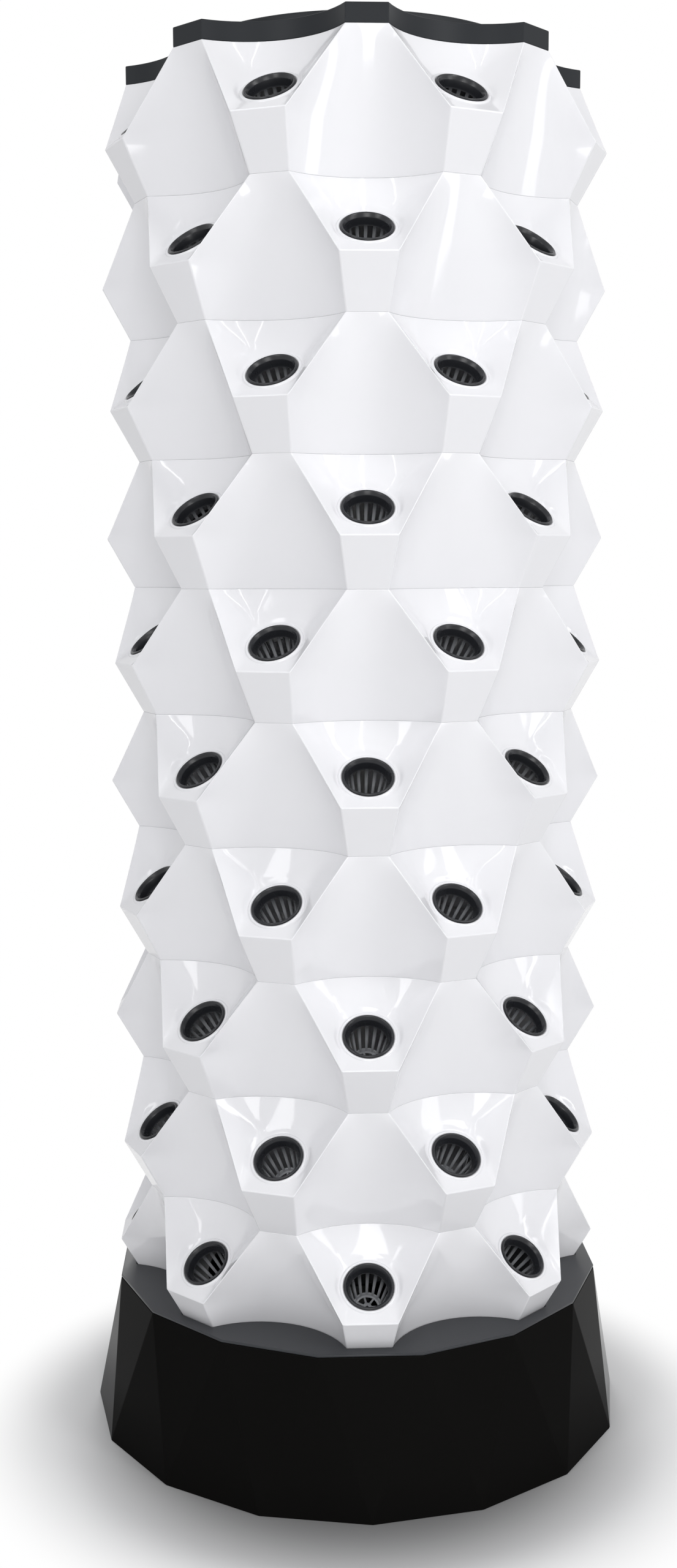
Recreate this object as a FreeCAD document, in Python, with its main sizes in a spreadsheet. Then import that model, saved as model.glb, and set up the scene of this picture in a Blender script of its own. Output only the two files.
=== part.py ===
import FreeCAD, Part
import Sketcher
import math
import os

# Vertical planter tower: ten stacked rings of eight sloping pots on a faceted water tank.
# Millimetres, +Z up. The origin is the centre of the tank's foot, on the floor.
# Azimuth 0 looks out of the front (-Y) and grows towards +X.

SIZES = {
    # seam outline, shared by the top and the foot of every ring
    "seam_plane": 253,
    "seam_middle": 210,
    "seam_width": 43,
    # planter ring
    "layer_pitch": 138,
    "ledge_drop": 83,
    "ledge_plane": 283,
    "ledge_width": 60,
    "seat_length": 74,
    "seat_slope": 39.5,
    "seat_top_width": 58,
    "ring_wall": 6.5,
    "hole_rise": 43,
    "tongue_width": 26,
    "tongue_thickness": 3,
    "tongue_height": 9,
    "tongue_gap": 0.4,
    # net cup
    "lip_radius": 27.5,
    "lip_height": 2.5,
    "cup_radius": 22.5,
    "cup_foot_radius": 15,
    "cup_length": 48,
    "cup_wall": 1.8,
    "cup_gap": 0.5,
    "lip_gap": 0.1,
    "slot_top": 8,
    "slot_foot": 7,
    "slot_share": 0.42,
    # water tank
    "tank_height": 171,
    "rim_radius": 286.5,
    "foot_radius": 315,
    "tank_wall": 4,
    "tank_floor": 4,
    # tank deck
    "deck_flange": 3,
    "deck_depth": 24,
    "deck_gap": 0.6,
    "recess_depth": 21,
    "recess_gap": 0.8,
    "return_inner": 50,
    "return_outer": 180,
    "return_angle": 62,
    "service_radius": 252,
    # fill cap and cable grommet
    "fill_radius": 20,
    "fill_flange": 24,
    "fill_rise": 4,
    "fill_plug": 13,
    "fill_gap": 0.4,
    "grip_length": 34,
    "grip_width": 6,
    "grip_rise": 9,
    "gland_radius": 9,
    "gland_flange": 13,
    "gland_rise": 3,
    "gland_gap": 0.3,
    "cord_radius": 4,
    # top cover
    "cover_height": 20,
    "cover_top": 3,
    "cover_disc_radius": 200,
    "cover_disc_rise": 9,
    # distribution tray and flow spreader
    "tray_radius": 190,
    "tray_depth": 18,
    "tray_wall": 3,
    "tray_drop": 4,
    "arm_width": 30,
    "arm_height": 6,
    "arm_gap": 0.15,
    "drip_size": 5,
    "drip_radius": 160,
    "spreader_radius": 24,
    "spreader_height": 16,
    "spreader_wall": 2.5,
    "spreader_notch": 8,
    "pipe_stand": 6,
    # riser pipe
    "pipe_radius": 16,
    "pipe_wall": 3,
    "pipe_gap": 0.4,
    "pipe_joint": 790,
    "bell_length": 40,
    # pump
    "pump_width": 62,
    "pump_depth": 58,
    "pump_front": 18,
    "pump_height": 48,
    "foot_height": 6,
    "foot_pad": 9,
    "foot_neck": 4.5,
    "foot_inset": 13,
    "spout_height": 18,
    "spout_wall": 3,
    "duct_size": 10,
    "chamber_depth": 18,
    "chamber_width": 50,
    "chamber_height": 42,
    "chamber_wall": 2.5,
    "inlet_width": 4,
    "inlet_pitch": 8,
    "inlet_height": 26,
    "rotor_radius": 5.5,
    "rotor_length": 42,
    "rotor_gap": 0.4,
    "vane_reach": 15,
    "vane_depth": 8,
    "vane_thickness": 2,
    "rotor_well": 30,
    "rotor_front": 0.5,
    "shutter_length": 44,
    "shutter_width": 14,
    "shutter_thickness": 2,
    "knob_radius": 8,
    "knob_height": 4,
    "pin_radius": 3,
    "pin_gap": 0.3,
}

RINGS = 10
POTS = 8
SEAM_STEPS = 5
SHELL_STEPS = 3
TANK_SIDES = 16
LIP_SIDES = 12
CUP_SIDES = 6
PIPE_SIDES = 12
SMALL_SIDES = 8
GLAND_SIDES = 6
TRAY_SIDES = 12
DISC_SIDES = 24
PAD_SIDES = 6
TRAY_HOLES = 6
SLOT_SIDES = (0, 1, 3, 4)
RING_TONGUES = 2
QUARTERS = 4
VANES = 4
INLET_STEPS = (-2.5, -1.5, 1.5, 2.5)
LOOSE_ROW = 4
FILL_AZIMUTH = 157.5
CABLE_AZIMUTH = 202.5
PITCH_ANGLE = 360 / POTS
HALF_PITCH = PITCH_ANGLE / 2
FLAT_SHARE = 1 / 3

doc = FreeCAD.newDocument("planter_tower")
sheet = doc.addObject("Spreadsheet::Sheet", "Sizes")
for row, (alias, value) in enumerate(SIZES.items(), start=1):
    sheet.set(f"A{row}", alias)
    sheet.set(f"B{row}", str(value))
    sheet.setAlias(f"B{row}", alias)
doc.recompute()


def size(alias):
    return float(sheet.get(alias))


def bind(item, prop, expression):
    item.setExpression(prop, expression)


# Heights of the main seats, from the floor up
deck_seat = size("tank_height")
deck_top = deck_seat + size("deck_flange")
column_foot = deck_top - size("recess_depth")
column_top = column_foot + RINGS * size("layer_pitch")


def spot(azimuth, out, across, up):
    """A point by its azimuth, its distance out of the axis, its step to the right and its height."""
    turn = math.radians(azimuth)
    x = out * math.sin(turn) + across * math.cos(turn)
    y = across * math.sin(turn) - out * math.cos(turn)
    return FreeCAD.Vector(x, y, up)


def between(start, end, share):
    return start + (end - start) * share


def face(points, hole=None):
    """A flat face round the points, with one hole if given."""
    wires = [Part.makePolygon(points + points[:1])]
    if hole:
        wires.append(Part.makePolygon(hole + hole[:1]))
        return Part.makeFace(wires, "Part::FaceMakerBullseye")
    return Part.Face(wires[0])


def strip(lower, upper):
    """Flat four-sided faces between two closed loops with as many points each."""
    count = len(lower)
    faces = []
    for i in range(count):
        j = (i + 1) % count
        faces.append(face([lower[i], lower[j], upper[j], upper[i]]))
    return faces


def closed_solid(faces):
    shell = Part.makeShell(faces)
    shell.sewShape()
    solid = Part.makeSolid(shell)
    if solid.Volume < 0:
        solid.reverse()
    return solid


def loop(sides, radius, up, start=0.0):
    """A regular outline round the axis."""
    return [spot(start + 360 * i / sides, radius, 0, up) for i in range(sides)]


def prism(points, height):
    return face(points).extrude(FreeCAD.Vector(0, 0, height))


def feature(label, shape, placement=None):
    """A sub-part whose faces are laid out point by point."""
    item = doc.addObject("Part::Feature", label)
    item.Label = label
    item.Shape = shape
    if placement:
        item.Placement = placement
    return item


# Planter ring

def scallop(azimuth, plane, middle, edge, steps, up):
    """The concave arc of the seam between two straight edges, with a flat stretch in its middle."""
    half = math.radians(HALF_PITCH)
    end_out = plane * math.cos(half) + edge / 2 * math.sin(half)
    end_across = plane * math.sin(half) - edge / 2 * math.cos(half)
    sag = end_out - middle
    radius = (sag**2 + end_across**2) / (2 * sag)
    sweep = math.asin(end_across / radius)
    side = steps // 2
    left = [(1 - FLAT_SHARE) * i / side - 1 for i in range(side + 1)]
    shares = left + [-share for share in reversed(left)]
    points = []
    for share in shares:
        out = middle + radius * (1 - math.cos(share * sweep))
        points.append(spot(azimuth, out, radius * math.sin(share * sweep), up))
    return points


class Skin:
    """One skin of a planter ring, from its top seam at 0 down to its foot, an inset in from the outside."""

    def __init__(self, inset, steps):
        plane = size("seam_plane") - inset
        middle = size("seam_middle") - inset
        ledge = size("ledge_plane") - inset
        edge = size("seam_width")
        drop = -size("ledge_drop")
        foot = -size("layer_pitch")
        wide = size("ledge_width") / 2
        slope = math.radians(size("seat_slope"))
        knee = ledge - size("seat_length") * math.cos(slope)
        rise = drop + size("seat_length") * math.sin(slope)
        near = size("seat_top_width") / 2
        self.steps = steps
        self.tops = []
        self.knees = []
        self.ledges = []
        self.feet = []
        for k in range(POTS):
            azimuth = k * PITCH_ANGLE
            self.tops.append(scallop(azimuth, plane, middle, edge, steps, 0))
            self.knees.append([spot(azimuth, knee, -near, rise), spot(azimuth, knee, near, rise)])
            self.ledges.append([spot(azimuth, ledge, -wide, drop), spot(azimuth, ledge, wide, drop)])
            self.feet.append(scallop(azimuth + HALF_PITCH, plane, middle, edge, steps, foot))

    def top_loop(self):
        return [point for arc in self.tops for point in arc]

    def foot_loop(self):
        return [point for arc in self.feet for point in arc]

    def seat(self, k):
        """The flat seat of a pot's cup, from its lower left corner round to its upper left one."""
        left, right = self.ledges[k]
        near_left, near_right = self.knees[k]
        return [left, right, near_right, near_left]

    def sides(self):
        """Every face but the seats."""
        side = self.steps // 2
        faces = []
        for k in range(POTS):
            arc = self.tops[k]
            after = (k + 1) % POTS
            left, right = self.ledges[k]
            near_left, near_right = self.knees[k]
            foot = self.feet[k]
            far = self.ledges[after][0]
            faces.append(face([near_left, near_right, arc[side + 1], arc[side]]))
            faces.append(face([left, near_left, arc[0]]))
            faces.append(face([right, near_right, arc[-1]]))
            for i in range(side):
                faces.append(face([arc[i], arc[i + 1], near_left]))
                faces.append(face([arc[-1 - i], arc[-2 - i], near_right]))
            faces.append(face([left, right, foot[0], self.feet[k - 1][-1]]))
            top_left = arc[-1]
            top_right = self.tops[after][0]
            faces.append(face([top_left, top_right, foot[side + 1], foot[side]]))
            faces.append(face([top_left, foot[side], right]))
            faces.append(face([top_right, foot[side + 1], far]))
            for i in range(side):
                faces.append(face([foot[i], foot[i + 1], right]))
                faces.append(face([foot[-1 - i], foot[-2 - i], far]))
        return faces

    def section(self, rise):
        """The outline at a height above the foot, its small corners cut straight across."""
        ledge_share = rise / (size("layer_pitch") - size("ledge_drop"))
        pitch_share = rise / size("layer_pitch")
        side = self.steps // 2
        points = []
        for k in range(POTS):
            left, right = self.ledges[k]
            far = self.ledges[(k + 1) % POTS][0]
            foot = self.feet[k]
            points.append(between(self.feet[k - 1][-1], left, ledge_share))
            points.append(between(foot[0], right, ledge_share))
            points.append(between(foot[side], right, ledge_share))
            points.append(between(foot[side], self.tops[k][-1], pitch_share))
            points.append(between(foot[side + 1], self.tops[(k + 1) % POTS][0], pitch_share))
            points.append(between(foot[side + 1], far, ledge_share))
        return points


def seat_frame(panel):
    """The pot hole's place: its z out of the seat and its x across it."""
    foot = between(panel[0], panel[1], 0.5)
    head = between(panel[3], panel[2], 0.5)
    across = (panel[1] - panel[0]).normalize()
    slope = (head - foot).normalize()
    out = across.cross(slope)
    centre = foot + slope * size("hole_rise")
    return FreeCAD.Placement(centre, FreeCAD.Rotation(across, slope, out, "ZXY"))


def onto(panel, point, direction):
    """Where the line from the point along the direction meets the seat's plane."""
    normal = (panel[1] - panel[0]).cross(panel[3] - panel[0])
    return point + direction * ((panel[0] - point).dot(normal) / direction.dot(normal))


def tongue(azimuth, root, top):
    """An upright tongue that stands just inside a straight edge of the ring above it."""
    out = size("seam_plane") - size("ring_wall") - size("tongue_gap")
    back = out - size("tongue_thickness")
    half = size("tongue_width") / 2
    corners = ((out, -half), (out, half), (back, half), (back, -half))
    return prism([spot(azimuth, reach, across, root) for reach, across in corners], top - root)


def edge_lean():
    """How far the ring's wall leans in below a straight edge of its seam, per millimetre down."""
    arc = scallop(0, size("seam_plane"), size("seam_middle"), size("seam_width"), SHELL_STEPS, 0)
    return (size("seam_plane") + arc[SHELL_STEPS // 2].y) / size("layer_pitch")


def ring_tongue(azimuth):
    """The tongue's root goes down until the leaning wall has buried it."""
    root = -(size("tongue_gap") + size("tongue_thickness")) / edge_lean()
    return tongue(azimuth, root, size("tongue_height"))


def ring_shape():
    outer = Skin(0, SEAM_STEPS)
    inner = Skin(size("ring_wall"), SHELL_STEPS)
    faces = outer.sides() + inner.sides()
    for k in range(POTS):
        outside = outer.seat(k)
        inside = inner.seat(k)
        place = seat_frame(outside)
        direction = place.Rotation.multVec(FreeCAD.Vector(0, 0, 1))
        mouth = [place.multVec(point) for point in loop(CUP_SIDES, size("cup_radius") + size("cup_gap"), 0)]
        throat = [onto(inside, point, direction) for point in mouth]
        faces.append(face(outside, mouth))
        faces.append(face(inside, throat))
        faces += strip(throat, mouth)
    faces.append(face(outer.top_loop(), inner.top_loop()))
    faces.append(face(outer.foot_loop(), inner.foot_loop()))
    shell = closed_solid(faces)
    tongues = []
    for k in range(0, POTS, POTS // RING_TONGUES):
        tongues.append(ring_tongue(HALF_PITCH + k * PITCH_ANGLE))
    return shell.fuse(tongues)


def ring_place(number):
    """Ring 1 is the top one, and each ring is turned half a pot from its neighbours."""
    turn = HALF_PITCH if number % 2 else 0
    up = column_top - (number - 1) * size("layer_pitch")
    return FreeCAD.Placement(
        FreeCAD.Vector(0, 0, up), FreeCAD.Rotation(FreeCAD.Vector(0, 0, 1), turn)
    )


planter_ring = ring_shape()
ring_skin = Skin(0, SEAM_STEPS)
for number in range(1, RINGS + 1):
    feature(f"planter_ring_{number:02d}", planter_ring, ring_place(number))


# Net cup: its seat at 0, its lip above and its tapering basket below

def basket_radius(up):
    taper = (size("cup_radius") - size("cup_foot_radius")) / size("cup_length")
    return size("cup_radius") + taper * up


def basket_loop(up, wall):
    return loop(CUP_SIDES, basket_radius(up) - wall, up)


def lip_faces(rim, opening):
    """Triangles from the lip's edge to the opening, which has half as many points."""
    faces = []
    for i in range(CUP_SIDES):
        j = (i + 1) % CUP_SIDES
        before, middle, after = rim[2 * i - 1], rim[2 * i], rim[(2 * i + 1) % LIP_SIDES]
        faces.append(face([before, middle, opening[i]]))
        faces.append(face([middle, after, opening[i]]))
        faces.append(face([opening[i], after, opening[j]]))
    return faces


def wall_faces(slotted):
    """The basket's outer and inner walls, a slotted one with a tall slot in most of its sides."""
    low = -size("cup_length")
    floor = low + size("cup_wall")
    outside = [basket_loop(low, 0), basket_loop(0, 0)]
    inside = [basket_loop(floor, size("cup_wall")), basket_loop(size("lip_height"), size("cup_wall"))]
    if not slotted:
        return strip(*outside) + strip(*inside)
    slot_low = low + size("slot_foot")
    slot_high = -size("slot_top")
    near = (1 - size("slot_share")) / 2
    faces = []
    for i in range(CUP_SIDES):
        j = (i + 1) % CUP_SIDES
        if i not in SLOT_SIDES:
            for low_loop, high_loop in (outside, inside):
                faces.append(face([low_loop[i], low_loop[j], high_loop[j], high_loop[i]]))
            continue
        slots = []
        for loops, wall in ((outside, 0), (inside, size("cup_wall"))):
            low_loop, high_loop = basket_loop(slot_low, wall), basket_loop(slot_high, wall)
            slot = [
                between(low_loop[i], low_loop[j], near),
                between(low_loop[i], low_loop[j], 1 - near),
                between(high_loop[i], high_loop[j], 1 - near),
                between(high_loop[i], high_loop[j], near),
            ]
            faces.append(face([loops[0][i], loops[0][j], loops[1][j], loops[1][i]], slot))
            slots.append(slot)
        faces += strip(*slots)
    return faces


def cup_shape(slotted):
    rim = loop(LIP_SIDES, size("lip_radius"), 0)
    opening = basket_loop(size("lip_height"), size("cup_wall"))
    low = -size("cup_length")
    faces = wall_faces(slotted) + lip_faces(rim, opening)
    faces.append(face(rim, basket_loop(0, 0)))
    faces.append(face(basket_loop(low, 0)))
    faces.append(face(basket_loop(low + size("cup_wall"), size("cup_wall"))))
    return closed_solid(faces)


def cup_place(number, k):
    lift = FreeCAD.Placement(FreeCAD.Vector(0, 0, size("lip_gap")), FreeCAD.Rotation())
    return ring_place(number) * seat_frame(ring_skin.seat(k)) * lift


plain_cup = cup_shape(False)
slotted_cup = cup_shape(True)
for number in range(1, RINGS + 1):
    if number == LOOSE_ROW:
        for k in range(POTS):
            feature(f"net_cup_{k + 1}", slotted_cup, cup_place(number, k))
        continue
    cups = []
    for k in range(POTS):
        cup = plain_cup.copy()
        cup.Placement = cup_place(number, k)
        cups.append(cup)
    feature(f"net_cups_row_{number:02d}", Part.makeCompound(cups))


# Water tank: an outer and an inner skin of triangles between a turned rim and foot

def tank_skin(inset, low, high):
    half = 360 / TANK_SIDES / 2
    rim = loop(TANK_SIDES, size("rim_radius") - inset, high, half)
    foot = loop(TANK_SIDES, size("foot_radius") - inset, low)
    faces = []
    for i in range(TANK_SIDES):
        j = (i + 1) % TANK_SIDES
        faces.append(face([foot[i], foot[j], rim[i]]))
        faces.append(face([rim[i], rim[j], foot[j]]))
    faces.append(face(foot))
    return faces, rim


def tank_shape():
    outside, outer_rim = tank_skin(0, 0, size("tank_height"))
    inside, inner_rim = tank_skin(size("tank_wall"), size("tank_floor"), size("tank_height"))
    return closed_solid(outside + inside + [face(outer_rim, inner_rim)])


feature("water_tank", tank_shape())


# Tank deck: a thick lid with a recess that the lowest ring drops into

def moved(points, out, up):
    """The points pushed out of the axis and laid at a height."""
    result = []
    for point in points:
        flat = FreeCAD.Vector(point.x, point.y, 0)
        push = flat.normalize() * (math.hypot(point.x, point.y) + out)
        result.append(FreeCAD.Vector(push.x, push.y, up))
    return result


def return_window(azimuth):
    """One of the openings that let the water fall back into the tank."""
    half = size("return_angle") / 2
    inner, outer = size("return_inner"), size("return_outer")
    corners = [(inner, -half), (outer, -half), (outer, 0), (outer, half), (inner, half)]
    low = deck_top - size("deck_depth")
    points = [spot(azimuth + angle, reach, 0, low) for reach, angle in corners]
    return prism(points, size("deck_depth"))


def service_hole(azimuth, sides, radius):
    """A hole through the deck beside the column, with a corner on its +X side."""
    centre = spot(azimuth, size("service_radius"), 0, deck_top - size("deck_depth"))
    return prism([point + centre for point in loop(sides, radius, 0, 90)], size("deck_depth"))


def deck_shape():
    half = 360 / TANK_SIDES / 2
    low = deck_top - size("deck_depth")
    flange = prism(loop(TANK_SIDES, size("rim_radius"), deck_seat, half), size("deck_flange"))
    mouth = size("rim_radius") - size("tank_wall") - size("deck_gap")
    block = prism(loop(TANK_SIDES, mouth, low, half), size("deck_depth"))
    outline = ring_skin.section(size("recess_depth"))
    recess = prism(moved(outline, size("recess_gap"), column_foot), size("recess_depth"))
    quarters = [360 / QUARTERS * k for k in range(QUARTERS)]
    cuts = [recess]
    cuts += [return_window(azimuth) for azimuth in quarters]
    pipe_hole = (size("pipe_radius") + size("pipe_gap")) / math.cos(math.pi / SMALL_SIDES)
    cuts.append(prism(loop(SMALL_SIDES, pipe_hole, low), size("deck_depth")))
    cuts.append(service_hole(FILL_AZIMUTH, SMALL_SIDES, size("fill_radius") + size("fill_gap")))
    cuts.append(service_hole(CABLE_AZIMUTH, GLAND_SIDES, size("gland_radius") + size("gland_gap")))
    deck = flange.fuse(block).removeSplitter()
    for cut in cuts:
        deck = deck.cut(cut)
    tongue_top = column_foot + size("tongue_height")
    tongues = [tongue(azimuth + PITCH_ANGLE, column_foot, tongue_top) for azimuth in quarters]
    return deck.fuse(tongues)


feature("tank_deck", deck_shape())


# Top cover: a plate with a skirt along the seam outline and a low raised disc

def cover_shape():
    height = size("cover_height")
    outer = Skin(0, SEAM_STEPS).top_loop()
    inner = Skin(size("ring_wall"), SHELL_STEPS).top_loop()
    under = height - size("cover_top")
    roof = moved(inner, 0, under)
    crown = moved(outer, 0, height)
    disc_foot = loop(DISC_SIDES, size("cover_disc_radius"), height)
    disc_top = moved(disc_foot, 0, height + size("cover_disc_rise"))
    faces = strip(outer, crown) + strip(inner, roof) + strip(disc_foot, disc_top)
    faces += [face(outer, inner), face(roof), face(crown, disc_foot), face(disc_top)]
    return closed_solid(faces)


feature("top_cover", cover_shape(), ring_place(1))


# Pieces made in bodies

def body(label):
    item = doc.addObject("PartDesign::Body", label)
    item.Label = label
    return item


def origin_feature(owner, role):
    for item in owner.Origin.OriginFeatures:
        if item.Role == role:
            return item
    raise ValueError(role)


def solid_step(owner, kind, name, bindings, place=None, turn=None):
    """A primitive step of a body, with its sizes and its place bound to the sheet."""
    step = owner.newObject(f"PartDesign::{kind}", name)
    for prop, value in bindings.items():
        if isinstance(value, int):
            setattr(step, prop, value)
        else:
            bind(step, prop, value)
    if turn:
        step.Placement = FreeCAD.Placement(FreeCAD.Vector(), turn)
    for axis, expression in (place or {}).items():
        bind(step, f".Placement.Base.{axis}", expression)
    return step


def rectangle_pad(owner, name, width, depth, height, place):
    """A pad on a sketched rectangle round the body's own axis, or round a point beside it."""
    sketch = owner.newObject("Sketcher::SketchObject", f"{name}_outline")
    sketch.AttachmentSupport = [(origin_feature(owner, "XY_Plane"), "")]
    sketch.MapMode = "FlatFace"
    for axis, expression in place.items():
        bind(sketch, f".AttachmentOffset.Base.{axis}", expression)
    # the rectangle is drawn as a unit square, and its bound constraints then size it
    corners = [FreeCAD.Vector(x, y, 0) for x, y in ((0, 0), (1, 0), (1, 1), (0, 1))]
    for i in range(4):
        sketch.addGeometry(Part.LineSegment(corners[i], corners[(i + 1) % 4]), False)
    for i in range(4):
        sketch.addConstraint(Sketcher.Constraint("Coincident", i, 2, (i + 1) % 4, 1))
    for i in range(4):
        sketch.addConstraint(Sketcher.Constraint("Vertical" if i % 2 else "Horizontal", i))
    sketch.addConstraint(Sketcher.Constraint("Symmetric", 0, 1, 2, 1, -1, 1))
    wide = sketch.addConstraint(Sketcher.Constraint("DistanceX", 0, 1, 0, 2, 1))
    deep = sketch.addConstraint(Sketcher.Constraint("DistanceY", 1, 1, 1, 2, 1))
    bind(sketch, f"Constraints[{wide}]", width)
    bind(sketch, f"Constraints[{deep}]", depth)
    pad = owner.newObject("PartDesign::Pad", name)
    pad.Profile = sketch
    bind(pad, "Length", height)
    return pad


def around(owner, name, step, count):
    """The step repeated round the body's own axis."""
    pattern = owner.newObject("PartDesign::PolarPattern", name)
    pattern.Originals = [step]
    pattern.Axis = (origin_feature(owner, "Z_Axis"), [""])
    pattern.Angle = 360
    pattern.Occurrences = count
    owner.Tip = pattern
    return pattern


def place_body(owner, x="0", y="0", z="0"):
    for axis, expression in (("x", x), ("y", y), ("z", z)):
        bind(owner, f".Placement.Base.{axis}", expression)


DECK_TOP = "(Sizes.tank_height + Sizes.deck_flange)"
COLUMN_TOP = f"({DECK_TOP} - Sizes.recess_depth + {RINGS} * Sizes.layer_pitch)"
PUMP_TOP = "(Sizes.tank_floor + Sizes.foot_height + Sizes.pump_height)"
ROTOR_UP = "(Sizes.tank_floor + Sizes.foot_height + Sizes.pump_height / 2)"
TRAY_FLOOR = f"({COLUMN_TOP} - Sizes.tray_drop - Sizes.tray_depth + Sizes.tray_wall)"
SMALL_FLAT = f"cos({180 / SMALL_SIDES} deg)"


def service_place(azimuth):
    """Expressions for the x and y of a piece that stands on the deck."""
    return (
        f"Sizes.service_radius * sin({azimuth} deg)",
        f"-Sizes.service_radius * cos({azimuth} deg)",
    )


# Fill cap: a plug with a flange and a grip, in the hole that the tank is filled through
fill_cap = body("fill_cap")
solid_step(
    fill_cap, "AdditivePrism", "flange",
    {"Polygon": SMALL_SIDES, "Circumradius": "Sizes.fill_flange", "Height": "Sizes.fill_rise"},
)
solid_step(
    fill_cap, "AdditivePrism", "plug",
    {"Polygon": SMALL_SIDES, "Circumradius": "Sizes.fill_radius", "Height": "Sizes.fill_plug"},
    {"z": "-Sizes.fill_plug"},
)
rectangle_pad(
    fill_cap, "grip", "Sizes.grip_length", "Sizes.grip_width", "Sizes.grip_rise", {"z": "Sizes.fill_rise"}
)
place_body(fill_cap, *service_place(FILL_AZIMUTH), DECK_TOP)

# Cable grommet: a rubber sleeve in the hole that the pump's lead leaves by
cable_grommet = body("cable_grommet")
solid_step(
    cable_grommet, "AdditivePrism", "flange",
    {"Polygon": SMALL_SIDES, "Circumradius": "Sizes.gland_flange", "Height": "Sizes.gland_rise"},
)
solid_step(
    cable_grommet, "AdditivePrism", "sleeve",
    {"Polygon": GLAND_SIDES, "Circumradius": "Sizes.gland_radius", "Height": "Sizes.deck_depth"},
    {"z": "-Sizes.deck_depth"},
)
solid_step(
    cable_grommet, "SubtractivePrism", "passage",
    {
        "Polygon": GLAND_SIDES,
        "Circumradius": "Sizes.cord_radius",
        "Height": "Sizes.deck_depth + Sizes.gland_rise",
    },
    {"z": "-Sizes.deck_depth"},
)
place_body(cable_grommet, *service_place(CABLE_AZIMUTH), DECK_TOP)

# Distribution tray: a shallow pan hung in the top ring by four arms
tray = body("distribution_tray")
solid_step(
    tray, "AdditivePrism", "pan",
    {"Polygon": TRAY_SIDES, "Circumradius": "Sizes.tray_radius", "Height": "Sizes.tray_depth"},
    {"z": "-Sizes.tray_depth"},
)
ARM_REACH = (
    "Sizes.seam_plane - Sizes.ring_wall - Sizes.arm_gap"
    f" - {edge_lean()} * (Sizes.tray_drop + Sizes.arm_height)"
)
arm = solid_step(
    tray, "AdditiveBox", "arm",
    {"Length": ARM_REACH, "Width": "Sizes.arm_width", "Height": "Sizes.arm_height"},
    {"y": "-Sizes.arm_width / 2", "z": "-Sizes.arm_height"},
)
around(tray, "arms", arm, QUARTERS)
solid_step(
    tray, "SubtractivePrism", "basin",
    {
        "Polygon": TRAY_SIDES,
        "Circumradius": "Sizes.tray_radius - Sizes.tray_wall",
        "Height": "Sizes.tray_depth - Sizes.tray_wall",
    },
    {"z": "Sizes.tray_wall - Sizes.tray_depth"},
)
solid_step(
    tray, "SubtractivePrism", "pipe_hole",
    {
        "Polygon": SMALL_SIDES,
        "Circumradius": f"(Sizes.pipe_radius + Sizes.pipe_gap) / {SMALL_FLAT}",
        "Height": "Sizes.tray_depth",
    },
    {"z": "-Sizes.tray_depth"},
)
drip = solid_step(
    tray, "SubtractiveBox", "drip_hole",
    {"Length": "Sizes.drip_size", "Width": "Sizes.drip_size", "Height": "Sizes.tray_depth"},
    {
        "x": "Sizes.drip_radius - Sizes.drip_size / 2",
        "y": "-Sizes.drip_size / 2",
        "z": "-Sizes.tray_depth",
    },
)
around(tray, "drip_holes", drip, TRAY_HOLES)
place_body(tray, z=f"{COLUMN_TOP} - Sizes.tray_drop")

# Flow spreader: an inverted cup over the pipe's top end, notched where it stands on the tray
spreader = body("flow_spreader")
solid_step(
    spreader, "AdditivePrism", "hood",
    {"Polygon": SMALL_SIDES, "Circumradius": "Sizes.spreader_radius", "Height": "Sizes.spreader_height"},
)
solid_step(
    spreader, "SubtractivePrism", "hollow",
    {
        "Polygon": SMALL_SIDES,
        "Circumradius": "Sizes.spreader_radius - Sizes.spreader_wall",
        "Height": "Sizes.spreader_height - Sizes.spreader_wall",
    },
)
notch = solid_step(
    spreader, "SubtractiveBox", "notch",
    {"Length": "Sizes.spreader_radius", "Width": "Sizes.spreader_notch", "Height": "Sizes.spreader_notch"},
    {"y": "-Sizes.spreader_notch / 2"},
)
around(spreader, "notches", notch, QUARTERS)
place_body(spreader, z=TRAY_FLOOR)


# Riser pipe: two lengths, the lower one with a bell that takes the upper one's foot
LOWER_LENGTH = f"(Sizes.pipe_joint - {PUMP_TOP})"
UPPER_LENGTH = f"({TRAY_FLOOR} + Sizes.pipe_stand - Sizes.pipe_joint)"
SOCKET = "(Sizes.pipe_radius + Sizes.pipe_gap)"
BORE = "(Sizes.pipe_radius - Sizes.pipe_wall)"

pipe_lower = body("riser_pipe_lower")
solid_step(
    pipe_lower, "AdditivePrism", "wall",
    {"Polygon": PIPE_SIDES, "Circumradius": "Sizes.pipe_radius", "Height": LOWER_LENGTH},
)
solid_step(
    pipe_lower, "AdditivePrism", "bell",
    {
        "Polygon": PIPE_SIDES,
        "Circumradius": f"{SOCKET} + Sizes.pipe_wall",
        "Height": "Sizes.bell_length + Sizes.pipe_wall",
    },
    {"z": f"{LOWER_LENGTH} - Sizes.pipe_wall"},
)
solid_step(
    pipe_lower, "SubtractivePrism", "socket",
    {"Polygon": PIPE_SIDES, "Circumradius": SOCKET, "Height": "Sizes.bell_length"},
    {"z": LOWER_LENGTH},
)
solid_step(
    pipe_lower, "SubtractivePrism", "bore",
    {"Polygon": PIPE_SIDES, "Circumradius": BORE, "Height": LOWER_LENGTH},
)
place_body(pipe_lower, z=PUMP_TOP)

pipe_upper = body("riser_pipe_upper")
solid_step(
    pipe_upper, "AdditivePrism", "wall",
    {"Polygon": PIPE_SIDES, "Circumradius": "Sizes.pipe_radius", "Height": UPPER_LENGTH},
)
solid_step(
    pipe_upper, "SubtractivePrism", "bore",
    {"Polygon": PIPE_SIDES, "Circumradius": BORE, "Height": UPPER_LENGTH},
)
place_body(pipe_upper, z="Sizes.pipe_joint")

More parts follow.
